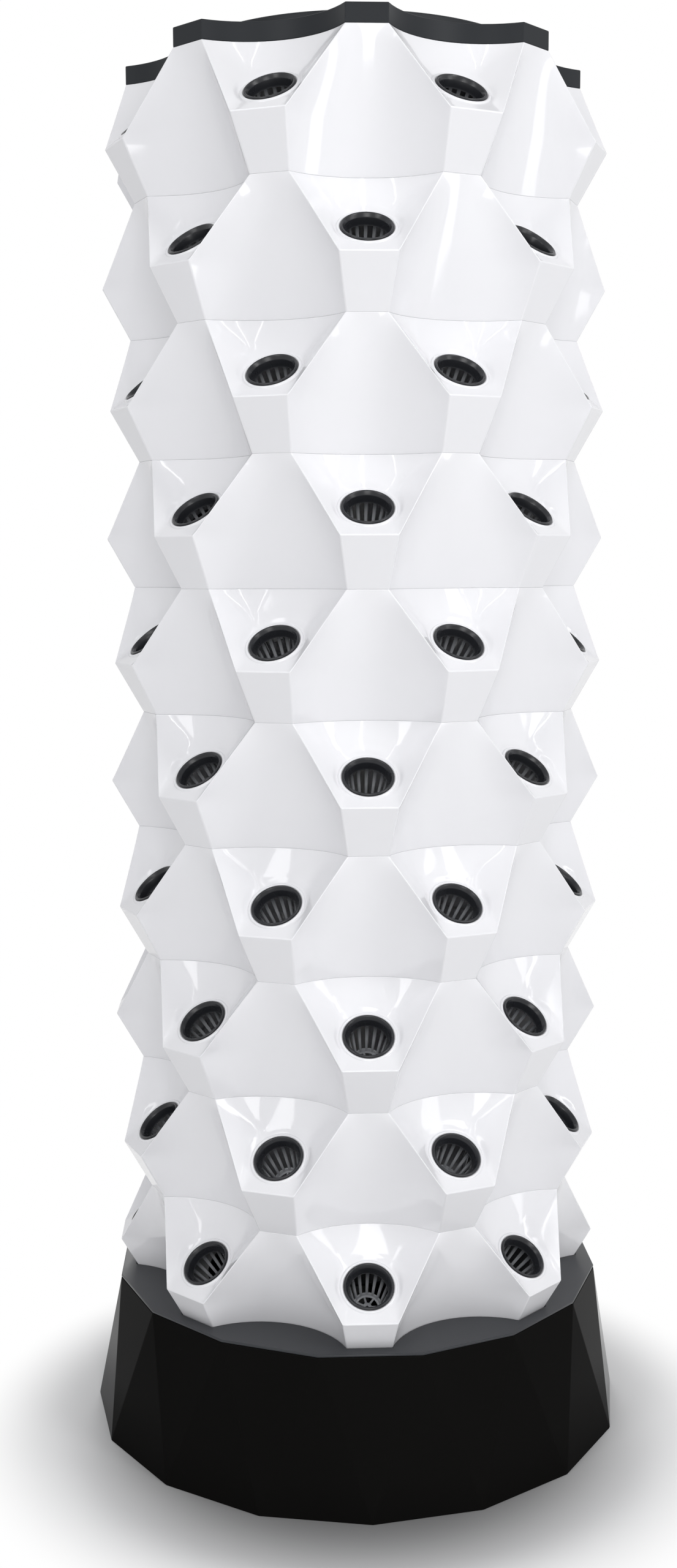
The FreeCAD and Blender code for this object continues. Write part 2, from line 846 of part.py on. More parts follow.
# Pump: a housing with a spout for the pipe, a slotted cover, a rotor and a turning shutter
ALONG_Y = FreeCAD.Rotation(FreeCAD.Vector(1, 0, 0), -90)
PUMP_FOOT = "(Sizes.tank_floor + Sizes.foot_height)"
SPOUT = "(Sizes.pipe_radius - Sizes.pipe_wall - 2 * Sizes.pipe_gap)"
CHAMBER_FRONT = "(-Sizes.pump_front - Sizes.chamber_depth)"
DUCT_FOOT = "(Sizes.pump_height - Sizes.duct_size - Sizes.spout_wall)"

pump_body = body("pump_body")
rectangle_pad(
    pump_body, "housing", "Sizes.pump_width", "Sizes.pump_depth", "Sizes.pump_height",
    {"y": "Sizes.pump_depth / 2 - Sizes.pump_front"},
)
solid_step(
    pump_body, "AdditivePrism", "spout",
    {"Polygon": SMALL_SIDES, "Circumradius": SPOUT, "Height": "Sizes.spout_height"},
    {"z": "Sizes.pump_height"},
)
solid_step(
    pump_body, "SubtractivePrism", "spout_bore",
    {
        "Polygon": SMALL_SIDES,
        "Circumradius": f"{SPOUT} - Sizes.spout_wall",
        "Height": "Sizes.spout_height + Sizes.duct_size + Sizes.spout_wall",
    },
    {"z": DUCT_FOOT},
)
solid_step(
    pump_body, "SubtractiveBox", "duct",
    {"Length": "Sizes.duct_size", "Width": "Sizes.pump_front", "Height": "Sizes.duct_size"},
    {"x": "-Sizes.duct_size / 2", "y": "-Sizes.pump_front", "z": DUCT_FOOT},
)
solid_step(
    pump_body, "SubtractivePrism", "rotor_well",
    {
        "Polygon": SMALL_SIDES,
        "Circumradius": f"(Sizes.rotor_radius + Sizes.rotor_gap) / {SMALL_FLAT}",
        "Height": "Sizes.rotor_well",
    },
    {"y": "-Sizes.pump_front", "z": "Sizes.pump_height / 2"},
    ALONG_Y,
)
place_body(pump_body, z=PUMP_FOOT)

pump_cover = body("pump_cover")
solid_step(
    pump_cover, "AdditiveBox", "shell",
    {"Length": "Sizes.chamber_width", "Width": "Sizes.chamber_depth", "Height": "Sizes.chamber_height"},
    {
        "x": "-Sizes.chamber_width / 2",
        "y": CHAMBER_FRONT,
        "z": "(Sizes.pump_height - Sizes.chamber_height) / 2",
    },
)
solid_step(
    pump_cover, "SubtractiveBox", "chamber",
    {
        "Length": "Sizes.chamber_width - 2 * Sizes.chamber_wall",
        "Width": "Sizes.chamber_depth - Sizes.chamber_wall",
        "Height": "Sizes.chamber_height - 2 * Sizes.chamber_wall",
    },
    {
        "x": "Sizes.chamber_wall - Sizes.chamber_width / 2",
        "y": f"{CHAMBER_FRONT} + Sizes.chamber_wall",
        "z": "(Sizes.pump_height - Sizes.chamber_height) / 2 + Sizes.chamber_wall",
    },
)
for index, steps in enumerate(INLET_STEPS):
    solid_step(
        pump_cover, "SubtractiveBox", f"inlet_{index}",
        {"Length": "Sizes.inlet_width", "Width": "Sizes.chamber_wall", "Height": "Sizes.inlet_height"},
        {
            "x": f"{steps} * Sizes.inlet_pitch - Sizes.inlet_width / 2",
            "y": CHAMBER_FRONT,
            "z": "(Sizes.pump_height - Sizes.inlet_height) / 2",
        },
    )
solid_step(
    pump_cover, "SubtractivePrism", "pin_hole",
    {
        "Polygon": SMALL_SIDES,
        "Circumradius": f"(Sizes.pin_radius + Sizes.pin_gap) / {SMALL_FLAT}",
        "Height": "Sizes.chamber_wall",
    },
    {"y": CHAMBER_FRONT, "z": "Sizes.pump_height / 2"},
    ALONG_Y,
)
place_body(pump_cover, z=PUMP_FOOT)

impeller = body("pump_impeller")
solid_step(
    impeller, "AdditivePrism", "rotor",
    {"Polygon": SMALL_SIDES, "Circumradius": "Sizes.rotor_radius", "Height": "Sizes.rotor_length"},
)
vane = solid_step(
    impeller, "AdditiveBox", "vane",
    {"Length": "Sizes.vane_reach", "Width": "Sizes.vane_thickness", "Height": "Sizes.vane_depth"},
    {"y": "-Sizes.vane_thickness / 2", "z": "Sizes.rotor_front"},
)
around(impeller, "vanes", vane, VANES)
place_body(impeller, y=f"{CHAMBER_FRONT} + Sizes.chamber_wall + Sizes.rotor_front", z=ROTOR_UP)
impeller.Placement.Rotation = ALONG_Y

shutter = body("flow_shutter")
rectangle_pad(
    shutter, "blade", "Sizes.shutter_width", "Sizes.shutter_length", "Sizes.shutter_thickness",
    {"z": "-Sizes.shutter_thickness"},
)
solid_step(
    shutter, "AdditivePrism", "knob",
    {"Polygon": SMALL_SIDES, "Circumradius": "Sizes.knob_radius", "Height": "Sizes.knob_height"},
    {"z": "-Sizes.shutter_thickness - Sizes.knob_height"},
)
solid_step(
    shutter, "AdditivePrism", "pin",
    {"Polygon": SMALL_SIDES, "Circumradius": "Sizes.pin_radius", "Height": "Sizes.chamber_wall"},
)
place_body(shutter, y=CHAMBER_FRONT, z=ROTOR_UP)
shutter.Placement.Rotation = ALONG_Y


def foot_shape():
    """The pump's four rubber feet, wider where they stick to the tank floor."""
    feet = []
    for x in (size("foot_inset") - size("pump_width") / 2, size("pump_width") / 2 - size("foot_inset")):
        for y in (
            size("foot_inset") - size("pump_front"),
            size("pump_depth") - size("pump_front") - size("foot_inset"),
        ):
            centre = FreeCAD.Vector(x, y, size("tank_floor"))
            low = [point + centre for point in loop(PAD_SIDES, size("foot_pad"), 0)]
            high = [point + centre for point in loop(PAD_SIDES, size("foot_neck"), size("foot_height"))]
            feet.append(closed_solid(strip(low, high) + [face(low), face(high)]))
    return Part.makeCompound(feet)


feature("suction_feet", foot_shape())


def export_all():
    doc.recompute()
    for item in doc.Objects:
        if "Invalid" in item.State or "Error" in item.State:
            raise RuntimeError(f"{item.Label} did not compute: {item.State}")
    pieces = [item for item in doc.Objects if item.TypeId in ("Part::Feature", "PartDesign::Body")]
    for item in pieces:
        if item.Shape.isNull() or not item.Shape.isValid():
            raise RuntimeError(f"{item.Label} has no valid shape")
    os.makedirs("parts", exist_ok=True)
    for item in pieces:
        item.Shape.exportStep(f"parts/{item.Label}.step")


export_all()
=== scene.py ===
import math

import bmesh
import bpy
from mathutils import Matrix, Vector


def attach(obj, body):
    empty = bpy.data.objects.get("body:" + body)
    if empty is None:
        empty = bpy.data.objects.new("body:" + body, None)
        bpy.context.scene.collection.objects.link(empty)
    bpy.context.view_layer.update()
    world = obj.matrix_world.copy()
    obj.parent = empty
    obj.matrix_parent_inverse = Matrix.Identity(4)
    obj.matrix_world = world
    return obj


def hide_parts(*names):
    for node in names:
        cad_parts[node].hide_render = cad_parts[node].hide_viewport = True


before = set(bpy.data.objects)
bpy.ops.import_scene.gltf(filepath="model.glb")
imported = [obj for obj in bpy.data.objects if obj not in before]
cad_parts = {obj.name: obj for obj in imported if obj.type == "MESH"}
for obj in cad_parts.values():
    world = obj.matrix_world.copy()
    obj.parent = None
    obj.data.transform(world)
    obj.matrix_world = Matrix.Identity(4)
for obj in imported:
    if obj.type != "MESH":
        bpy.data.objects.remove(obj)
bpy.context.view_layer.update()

# Sizes in millimetres, turned into metres where they are used
MM = 0.001
POTS = 8
PITCH_ANGLE = 360 / POTS
SEAM_PLANE = 253
SEAM_MIDDLE = 210
SEAM_WIDTH = 43
LEDGE_PLANE = 283
LEDGE_WIDTH = 60
LEDGE_DROP = 83
LAYER_PITCH = 138
SEAT_SLOPE = 39.5
SEAT_LENGTH = 74
SEAT_TOP_WIDTH = 58
HOLE_RISE = 43
SHELL = 4
RINGS = 10
LOOSE_ROW = 4

LIP_RADIUS = 27.3
LIP_HEIGHT = 2.5
CUP_LIFT = 0.1
BASKET_RADIUS = 23.9
BASKET_FOOT = 15
BASKET_LENGTH = 47.5
BASKET_WALL = 1.4
BAND_FOOT = -10
# The depths in millimetres over which painted light pales the cup's basket
PAINTED_LIGHT_START = 8
PAINTED_LIGHT_FULL = 28
RIBS = 14
RIB_SHARE = 0.4
FOOT_BAND = 5
CUP_FLOOR = 1.6
SPOKES = 7
HUB_RADIUS = 5
HUB_BORE = 1.5
CUP_TURN = 9

BEAD_RADIUS = 29.4
BEAD_HEIGHT = 1.5
BORE_RADIUS = 24.7
FOLD_ROUND = 1.6

TANK_SIDES = 16
TANK_FOOT_RADIUS = 315
TANK_RIM_RADIUS = 286.5
TANK_HEIGHT = 171
TANK_WALL = 4
DECK_TOP = 174
DECK_FOOT = 150
RECESS_FLOOR = 153
COLUMN_TOP = RECESS_FLOOR + RINGS * LAYER_PITCH
SERVICE_RADIUS = 252
FILL_AZIMUTH = 157.5
CABLE_AZIMUTH = 202.5
CAP_RADIUS = 23.6
CAP_FLANGE = 4
CAP_FLUTES = 36
FLUTE_DEPTH = 0.4
PLUG_RADIUS = 20
PLUG_DEPTH = 13
GROMMET_RADIUS = 13
GROMMET_NECK = 9
GROMMET_DEPTH = 24
CABLE_RADIUS = 4
DECK_PLAY = 0.6
COLUMN_PLAY = 0.8
QUARTERS = (0, 90, 180, 270)
TONGUE_FRONT = 246
TONGUE_WIDTH = 26
TONGUE_HEIGHT = 9
TONGUE_ROOT = -16
TONGUE_THICKNESS = 3

PIPE_RADIUS = 16
PIPE_WALL = 3
PIPE_JOINT = 790
PIPE_PLAY = 0.4
BELL_LENGTH = 40

LID_HEIGHT = 20
LID_ROOF = 3
DISC_RADIUS = 200
DISC_TOP = 29
TRAY_TOP = 1529
TRAY_RIM = 190
TRAY_RADIUS = 187
TRAY_DEPTH = 18
TRAY_WALL = 3
TRAY_FLOOR = TRAY_TOP - TRAY_DEPTH + TRAY_WALL
DRIPS = 6
DRIP_RADIUS = 2.8
DRIP_REACH = 160
ARM_REACH = 245.5
ARM_HALF = 15
ARM_DEPTH = 6
HOOD_RADIUS = 24
HOOD_HEIGHT = 16
HOOD_WALL = 2.5
NOTCH_HALF = 4
NOTCH_HEIGHT = 8

PUMP_FOOT = 10
PUMP_TOP = 58
PUMP_HALF = 31
PUMP_FRONT = -18
PUMP_BACK = 40
GROOVES = 6
GROOVE_WIDTH = 2.5
SPOUT_TOP = 76
SPOUT_RADIUS = 12.2
SPOUT_BORE = 9.2
CHAMBER_FRONT = -36
CHAMBER_HALF = 25
CHAMBER_WALL = 2.5
ROTOR_UP = 34
ROTOR_RADIUS = 5.5
ROTOR_LENGTH = 42
VANE_REACH = 15
BLADE_HALF = 22
KNOB_RADIUS = 7.6
PIN_RADIUS = 3


# Points and small helpers

def spot(azimuth, out, across, up):
    """A point in metres from millimetres: its azimuth, distance out, step to the right and height."""
    turn = math.radians(azimuth)
    x = out * math.sin(turn) + across * math.cos(turn)
    y = across * math.sin(turn) - out * math.cos(turn)
    return Vector((x, y, up)) * MM


def mix(a, b, share):
    return a + (b - a) * share


def smooth(value, low, high):
    """0 below low, 1 above high and an eased step between."""
    share = min(max((value - low) / (high - low), 0), 1)
    return share * share * (3 - 2 * share)


def eased_max(a, b, reach):
    """The larger of two heights, with a rounded valley where they come within reach."""
    gap = max(reach - abs(a - b), 0)
    return max(a, b) + gap * gap / (4 * max(reach, 0.01))


def held(mesh):
    """The mesh on an object of its own in the scene."""
    item = bpy.data.objects.new(mesh.name, mesh)
    bpy.context.scene.collection.objects.link(item)
    return item


def placed(name, mesh, body, node, finish, where=None):
    """A piece that rides on its body, stands for its node and takes the finish of that name."""
    piece = held(mesh)
    piece.name = name
    if not mesh.materials:
        mesh.materials.append(FINISHES[finish])
    if where:
        piece.matrix_world = where
    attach(piece, body)
    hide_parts(node)


def mesh_of(bm, name):
    """The laid-out faces as a smooth-shaded mesh."""
    bmesh.ops.remove_doubles(bm, verts=bm.verts, dist=0.01 * MM)
    bmesh.ops.delete(bm, geom=[edge for edge in bm.edges if not edge.link_faces], context="EDGES")
    bmesh.ops.recalc_face_normals(bm, faces=bm.faces)
    for face in bm.faces:
        face.smooth = True
    mesh = bpy.data.meshes.new(name)
    bm.to_mesh(mesh)
    bm.free()
    return mesh


def shown(holder, tools=()):
    """The mesh with its modifiers applied, once its holder and its tools are cleared away."""
    graph = bpy.context.evaluated_depsgraph_get()
    result = bpy.data.meshes.new_from_object(holder.evaluated_get(graph))
    for item in (holder, *tools):
        bpy.data.objects.remove(item)
    return result


def quads(bm, rows, closed=False, flip=False):
    """Four-sided faces between rows of vertices."""
    made = []
    for lower, upper in zip(rows, rows[1:]):
        count = len(lower)
        last = count if closed else count - 1
        for i in range(last):
            j = (i + 1) % count
            corners = [lower[i], lower[j], upper[j], upper[i]]
            if flip:
                corners.reverse()
            made.append(bm.faces.new(corners))
    return made


def lathe(bm, profile, sides, place=None):
    """Turns a closed profile of (radius, height) in millimetres round Z."""
    rows = []
    for radius, height in profile:
        row = []
        for i in range(sides):
            turn = 2 * math.pi * i / sides
            point = Vector((radius * math.cos(turn), radius * math.sin(turn), height)) * MM
            row.append(bm.verts.new(place @ point if place else point))
        rows.append(row)
    quads(bm, rows + rows[:1], closed=True)


def turned(name, *profiles, sides=64, place=None):
    """A turned piece from one or more profiles."""
    bm = bmesh.new()
    for profile in profiles:
        lathe(bm, profile, sides, place)
    return mesh_of(bm, name)


def block(outline, low, high, name="block"):
    """An upright block on an outline of (x, y) in millimetres."""
    bm = bmesh.new()
    rows = [[bm.verts.new(Vector((x, y, up)) * MM) for x, y in outline] for up in (low, high)]
    quads(bm, rows, closed=True)
    bm.faces.new(rows[1])
    bm.faces.new(rows[0])
    return mesh_of(bm, name)


def bar(low, high, name="bar"):
    """A block from its lowest corner to its highest one."""
    corners = ((low[0], low[1]), (high[0], low[1]), (high[0], high[1]), (low[0], high[1]))
    return block(corners, low[2], high[2], name)


def ring_of(sides, radius, start=0.0, middle=(0, 0)):
    """A regular outline, with its first corner at an azimuth."""
    points = []
    for i in range(sides):
        turn = math.radians(start + 360 * i / sides)
        points.append((middle[0] + radius * math.sin(turn), middle[1] - radius * math.cos(turn)))
    return points


def carved(mesh, joins=(), cuts=()):
    """The mesh with others joined to it, and others cut out of it."""
    holder = held(mesh)
    tools = []
    for operation, others in (("UNION", joins), ("DIFFERENCE", cuts)):
        for other in others:
            tools.append(held(other))
            step = holder.modifiers.new(operation, "BOOLEAN")
            step.operation = operation
            step.object = tools[-1]
            step.solver = "EXACT"
    return shown(holder, tools)


def joined(*meshes):
    """Several meshes as one."""
    bm = bmesh.new()
    for mesh in meshes:
        bm.from_mesh(mesh)
    result = bpy.data.meshes.new(meshes[0].name)
    bm.to_mesh(result)
    bm.free()
    return result


def rounded(profile, reach, steps=3):
    """The profile with each corner cut by a small arc that starts up to reach before it."""
    points = []
    count = len(profile)
    for i in range(count):
        before = Vector(profile[i - 1])
        here = Vector(profile[i])
        after = Vector(profile[(i + 1) % count])
        size = min(reach, (before - here).length * 0.45, (after - here).length * 0.45)
        start = here + (before - here).normalized() * size
        end = here + (after - here).normalized() * size
        for step in range(steps + 1):
            share = step / steps
            points.append(mix(mix(start, here, share), mix(here, end, share), share))
    return [tuple(point) for point in points]


def bevelled(mesh, width, by_weight=False, angle=30, segments=3):
    """The mesh with its sharp or weighted edges rounded."""
    holder = held(mesh)
    for face in mesh.polygons:
        face.use_smooth = True
    bevel = holder.modifiers.new("bevel", "BEVEL")
    bevel.width = width * MM
    bevel.segments = segments
    bevel.limit_method = "WEIGHT" if by_weight else "ANGLE"
    bevel.angle_limit = math.radians(angle)
    bevel.harden_normals = True
    return shown(holder)


# Planter ring: the top seam is at 0, and pot 0 faces azimuth 0

class Skin:
    """One skin of a ring, an inset in from the outside."""

    ARC_STEPS = 16
    RIDGE_STEPS = 14
    LEDGE_STEPS = 10
    NOSE_STEPS = 8
    FAN_STEPS = 12
    FAN_BUNCHING = 1.5
    KNEE_SPREAD = 1.5
    SEAT_FLAT = 31.2
    SEAT_BLEND = 37
    CREASE = 8

    def __init__(self, inset):
        half = math.radians(PITCH_ANGLE / 2)
        plane = SEAM_PLANE - inset
        self.middle = SEAM_MIDDLE - inset
        self.plane = plane
        self.ledge = LEDGE_PLANE - inset
        self.end_out = plane * math.cos(half) + SEAM_WIDTH / 2 * math.sin(half)
        self.end_across = plane * math.sin(half) - SEAM_WIDTH / 2 * math.cos(half)
        sag = self.end_out - self.middle
        self.radius = (sag**2 + self.end_across**2) / (2 * sag)
        self.sweep = math.asin(self.end_across / self.radius)
        lean = math.radians(SEAT_SLOPE)
        self.slope = Vector((-math.cos(lean), math.sin(lean)))
        self.rise = HOLE_RISE + inset * self.slope.x
        foot = Vector((self.ledge, -LEDGE_DROP))
        self.centre = foot + self.slope * self.rise
        self.walls = [self.back(), [self.flank(-1)], [self.flank(1)]]

    def arc(self, share):
        """Distance out and across on the seam's scallop, from share -1 to 1."""
        turn = share * self.sweep
        return self.middle + self.radius * (1 - math.cos(turn)), self.radius * math.sin(turn)

    def funnel(self, share, down):
        """The pot face: from the scallop at 0 down to the ledge at 1."""
        out, across = self.arc(share)
        return Vector((
            mix(out, self.ledge, down), mix(across, LEDGE_WIDTH / 2 * share, down), -LEDGE_DROP * down
        ))

    def knee(self, share):
        """A point on the line where the pot face bends up from its seat, as over_seat gives it."""
        return Vector((SEAT_TOP_WIDTH / 2 * share, SEAT_LENGTH - self.rise, 0))

    def back(self):
        """The planes from the knee up to the scallop, and the cones beside them."""
        planes = []
        for i in range(self.ARC_STEPS):
            low, high = 2 * i / self.ARC_STEPS - 1, 2 * (i + 1) / self.ARC_STEPS - 1
            share = min(max(self.KNEE_SPREAD * (low + high), -1), 1)
            ends = [self.over_seat(self.funnel(end, 0)) for end in (low, high)]
            planes.append(plane(*ends, self.knee(share)))
        return planes

    def flank(self, side):
        """The plane between the seat and the ridge beside it."""
        corner = Vector((LEDGE_WIDTH / 2 * side, -self.rise, 0))
        return plane(corner, self.knee(side), self.over_seat(self.funnel(side, 0)))

    def seat(self, across, along, lift):
        """A point over the pot's seat, from its centre: across, up the slope and out of it."""
        out = self.centre.x + self.slope.x * along + self.slope.y * lift
        up = self.centre.y + self.slope.y * along - self.slope.x * lift
        return Vector((out, across, up))

    def over_seat(self, point):
        """The same three numbers for a point given by its distance out, across and up."""
        reach = Vector((point.x, point.z)) - self.centre
        lift = reach.x * self.slope.y - reach.y * self.slope.x
        return Vector((point.y, reach.dot(self.slope), lift))

    def lift_at(self, across, along, ease):
        """How far the pot face stands over its seat, with eased creases and nothing round the hole."""
        lift = 0
        for wall in self.walls:
            height = max(a * across + b * along + c for a, b, c in wall)
            lift = eased_max(lift, height, self.CREASE * ease)
        return lift * smooth(math.hypot(across, along), self.SEAT_FLAT, self.SEAT_BLEND)

    def outline(self):
        """The pot face's boundary as (share, down) pairs, clockwise from its top left corner."""
        top = [(2 * i / self.ARC_STEPS - 1, 0) for i in range(self.ARC_STEPS)]
        right = [(1, i / self.RIDGE_STEPS) for i in range(self.RIDGE_STEPS)]
        ledge = [(1 - 2 * i / self.LEDGE_STEPS, 1) for i in range(self.LEDGE_STEPS)]
        left = [(-1, 1 - i / self.RIDGE_STEPS) for i in range(self.RIDGE_STEPS)]
        return top + right + ledge + left

    def fan(self, inner_radius):
        """Rows of points from the pot face's boundary in to a circle round the hole."""
        edge = [self.funnel(*pair) for pair in self.outline()]
        rows = [edge]
        for step in range(1, self.FAN_STEPS + 1):
            share = (1 - step / self.FAN_STEPS) ** self.FAN_BUNCHING
            row = []
            for point in edge:
                over = self.over_seat(point)
                away = math.hypot(over.x, over.y)
                reach = mix(inner_radius, away, share)
                across, along = over.x / away * reach, over.y / away * reach
                row.append(self.seat(across, along, self.lift_at(across, along, 1 - share)))
            rows.append(row)
        return rows

    def circle(self, radius, lift):
        """A circle round the hole with as many points as the boundary, at the same angles."""
        row = []
        for pair in self.outline():
            over = self.over_seat(self.funnel(*pair))
            away = math.hypot(over.x, over.y)
            row.append(self.seat(over.x / away * radius, over.y / away * radius, lift))
        return row

    def web_row(self, up):
        """The concave face between two pots at a height, about the azimuth half way between them."""
        half = math.radians(PITCH_ANGLE / 2)
        corner = Vector((
            self.ledge * math.cos(half) + LEDGE_WIDTH / 2 * math.sin(half),
            self.ledge * math.sin(half) - LEDGE_WIDTH / 2 * math.cos(half),
        ))
        if up > -LEDGE_DROP:
            edge = mix(Vector((self.plane, SEAM_WIDTH / 2)), corner, -up / LEDGE_DROP)
        else:
            edge = mix(corner, Vector((self.end_out, self.end_across)), self.below_ledge(up))
        middle = mix(self.plane, self.middle, -up / LAYER_PITCH)
        shares = [2 * i / self.ARC_STEPS - 1 for i in range(self.ARC_STEPS + 1)]
        return [Vector((*section(middle, edge.x, edge.y, share), up)) for share in shares]

    def nose_row(self, up):
        """The face under the ledge at a height."""
        out = mix(self.ledge, self.plane, self.below_ledge(up))
        wide = mix(LEDGE_WIDTH, SEAM_WIDTH, self.below_ledge(up)) / 2
        shares = [2 * k / self.LEDGE_STEPS - 1 for k in range(self.LEDGE_STEPS + 1)]
        return [Vector((out, wide * share, up)) for share in shares]

    def below_ledge(self, up):
        return (-up - LEDGE_DROP) / (LAYER_PITCH - LEDGE_DROP)

    def heights(self):
        """The rows' heights from the top seam to the ledge, and from there to the foot seam."""
        upper = [-LEDGE_DROP * i / self.RIDGE_STEPS for i in range(self.RIDGE_STEPS)]
        drop = LAYER_PITCH - LEDGE_DROP
        lower = [-LEDGE_DROP - drop * i / self.NOSE_STEPS for i in range(self.NOSE_STEPS + 1)]
        return upper, lower


def plane(*points):
    """The heights per millimetre across and along, and at the centre, of a plane through three points."""
    normal = (points[1] - points[0]).cross(points[2] - points[0])
    return -normal.x / normal.z, -normal.y / normal.z, points[0].dot(normal) / normal.z


def section(middle, out, across, share):
    """A point on the arc through a middle and two ends, as (out, across)."""
    sag = out - middle
    if sag < 1e-3:
        return middle, across * share
    radius = (sag**2 + across**2) / (2 * sag)
    sweep = math.asin(across / radius)
    return middle + radius * (1 - math.cos(share * sweep)), radius * math.sin(share * sweep)


def bead_profile():
    """Radius and lift of the raised border round the hole, from its outer foot in to the bore."""
    half = Skin.SEAT_FLAT - BEAD_RADIUS
    rows = []
    for degrees in (25, 50, 75, 100, 125, 150):
        turn = math.radians(degrees)
        rows.append((BEAD_RADIUS + half * math.cos(turn), BEAD_HEIGHT * math.sin(turn)))
    rows.append((BEAD_RADIUS - half * 0.9, 0))
    rows.append((BORE_RADIUS, 0))
    return rows


def ring_mesh(start):
    """A whole ring: outer and inner skins, rims and pot holes, with its first pot at an azimuth."""
    bm = bmesh.new()
    outer = Skin(0)
    inner = Skin(SHELL)
    kinds = {}
    upper, lower = outer.heights()

    def laid(rows, azimuth):
        return [[bm.verts.new(spot(azimuth, *point)) for point in row] for row in rows]

    def add(kind, faces):
        for face in faces:
            kinds[face] = kind

    for k in range(POTS):
        azimuth = start + k * PITCH_ANGLE
        between = azimuth + PITCH_ANGLE / 2
        outer_rows = outer.fan(outer.SEAT_FLAT) + [outer.circle(*pair) for pair in bead_profile()]
        outer_fan = laid(outer_rows, azimuth)
        inner_fan = laid(inner.fan(BORE_RADIUS), azimuth)
        add("funnel", quads(bm, outer_fan, closed=True, flip=True))
        add("inside", quads(bm, inner_fan, closed=True))
        add("bore", quads(bm, [outer_fan[-1], inner_fan[-1]], closed=True, flip=True))
        outer_web = laid([outer.web_row(up) for up in upper + lower], between)
        inner_web = laid([inner.web_row(up) for up in upper + lower], between)
        add("web", quads(bm, outer_web, flip=True))
        add("inside", quads(bm, inner_web))
        outer_nose = laid([outer.nose_row(up) for up in lower], azimuth)
        inner_nose = laid([inner.nose_row(up) for up in lower], azimuth)
        add("nose", quads(bm, outer_nose, flip=True))
        add("inside", quads(bm, inner_nose))
        top_out = outer_fan[0][:outer.ARC_STEPS + 1]
        top_in = inner_fan[0][:inner.ARC_STEPS + 1]
        add("rim", quads(bm, [top_out, top_in]))
        add("rim", quads(bm, [outer_web[0], inner_web[0]]))
        add("rim", quads(bm, [outer_web[-1], inner_web[-1]], flip=True))
        add("rim", quads(bm, [outer_nose[-1], inner_nose[-1]], flip=True))
    bmesh.ops.remove_doubles(bm, verts=bm.verts, dist=0.02 * MM)
    weight = bm.edges.layers.float.new("bevel_weight_edge")
    outside = {"funnel", "web", "nose"}
    for edge in bm.edges:
        sides = {kinds.get(face) for face in edge.link_faces}
        if len(sides) == 2 and sides <= outside:
            edge[weight] = 1
        elif "rim" in sides and sides & outside:
            edge[weight] = 0.4
    mesh = bpy.data.meshes.new("ring")
    bm.to_mesh(mesh)
    bm.free()
    tongues = [
        tongue(start + PITCH_ANGLE / 2 + turn, TONGUE_ROOT, TONGUE_HEIGHT) for turn in (0, 180)
    ]
    return joined(bevelled(mesh, FOLD_ROUND, by_weight=True), *tongues)


def tongue(azimuth, low, high):
    """An upright tongue that centres the ring above it."""
    front, back, half = TONGUE_FRONT, TONGUE_FRONT - TONGUE_THICKNESS, TONGUE_WIDTH / 2
    corners = ((front, -half), (front, half), (back, half), (back, -half))
    outline = [tuple(spot(azimuth, out, across, 0).xy / MM) for out, across in corners]
    return bevelled(block(outline, low, high), 0.8)


def ring_section(up, start, push=0):
    """The ring's outline at a height below its top seam, pushed out of the axis, as (x, y) points."""
    skin = Skin(-push)
    points = []
    for k in range(POTS):
        azimuth = start + k * PITCH_ANGLE
        if up > -LEDGE_DROP:
            shares = [2 * i / skin.ARC_STEPS - 1 for i in range(skin.ARC_STEPS + 1)]
            front = [skin.funnel(share, -up / LEDGE_DROP) for share in shares]
        else:
            front = skin.nose_row(up)
        points += [spot(azimuth, *point) for point in front[:-1]]
        points += [spot(azimuth + PITCH_ANGLE / 2, *point) for point in skin.web_row(up)[:-1]]
    return [tuple(point.xy / MM) for point in points]


# Net cup: its seat at 0, its lip above and its ribbed basket below

def basket_radius(height):
    return mix(BASKET_RADIUS, BASKET_FOOT, -height / BASKET_LENGTH)


def cup_mesh():
    """A cup, with each point's depth below the seat kept for the light that the material paints down its
    basket.
    """
    bm = bmesh.new()
    add_lip(bm)
    add_basket(bm)
    add_cup_floor(bm)
    mesh = mesh_of(bm, "net_cup")
    mesh.set_sharp_from_angle(angle=math.radians(40))
    depths = mesh.attributes.new("depth", "FLOAT", "POINT")
    for vertex, depth in zip(mesh.vertices, depths.data):
        depth.value = -vertex.co.z / MM
    return mesh


def moved_copy(mesh, place):
    copy = mesh.copy()
    copy.transform(place)
    return copy


def add_lip(bm):
    """The rolled rim and the plain band under it."""
    inside = BASKET_RADIUS - BASKET_WALL
    profile = [
        (LIP_RADIUS, 0.15), (LIP_RADIUS, LIP_HEIGHT - 0.8), (LIP_RADIUS - 0.9, LIP_HEIGHT),
        (LIP_RADIUS - 2.1, LIP_HEIGHT), (LIP_RADIUS - 2.9, LIP_HEIGHT - 0.9), (inside, -1.2),
        (basket_radius(BAND_FOOT) - BASKET_WALL, BAND_FOOT), (basket_radius(BAND_FOOT), BAND_FOOT),
        (BASKET_RADIUS, 0.15),
    ]
    lathe(bm, rounded(profile, 0.6), 48)


def add_basket(bm):
    """Ribs from the plain band down to the floor."""
    start = BAND_FOOT + 0.5
    levels = [mix(start, -BASKET_LENGTH + 3, i / 4) for i in range(5)]
    for rib in range(RIBS):
        middle = 2 * math.pi * (rib + 0.5) / RIBS
        wide = math.pi / RIBS * RIB_SHARE
        rows = []
        for height in levels:
            outside = basket_radius(height)
            inside = outside - BASKET_WALL
            ring = []
            for turn, radius in (
                (-1, outside), (-0.4, outside), (0.4, outside), (1, outside),
                (1, inside), (0.5, inside - 0.7), (-0.5, inside - 0.7), (-1, inside),
            ):
                angle = middle + turn * wide
                point = Vector((radius * math.cos(angle), radius * math.sin(angle), height)) * MM
                ring.append(bm.verts.new(point))
            rows.append(ring)
        quads(bm, rows, closed=True)
        bm.faces.new(rows[0])
        bm.faces.new(rows[-1])


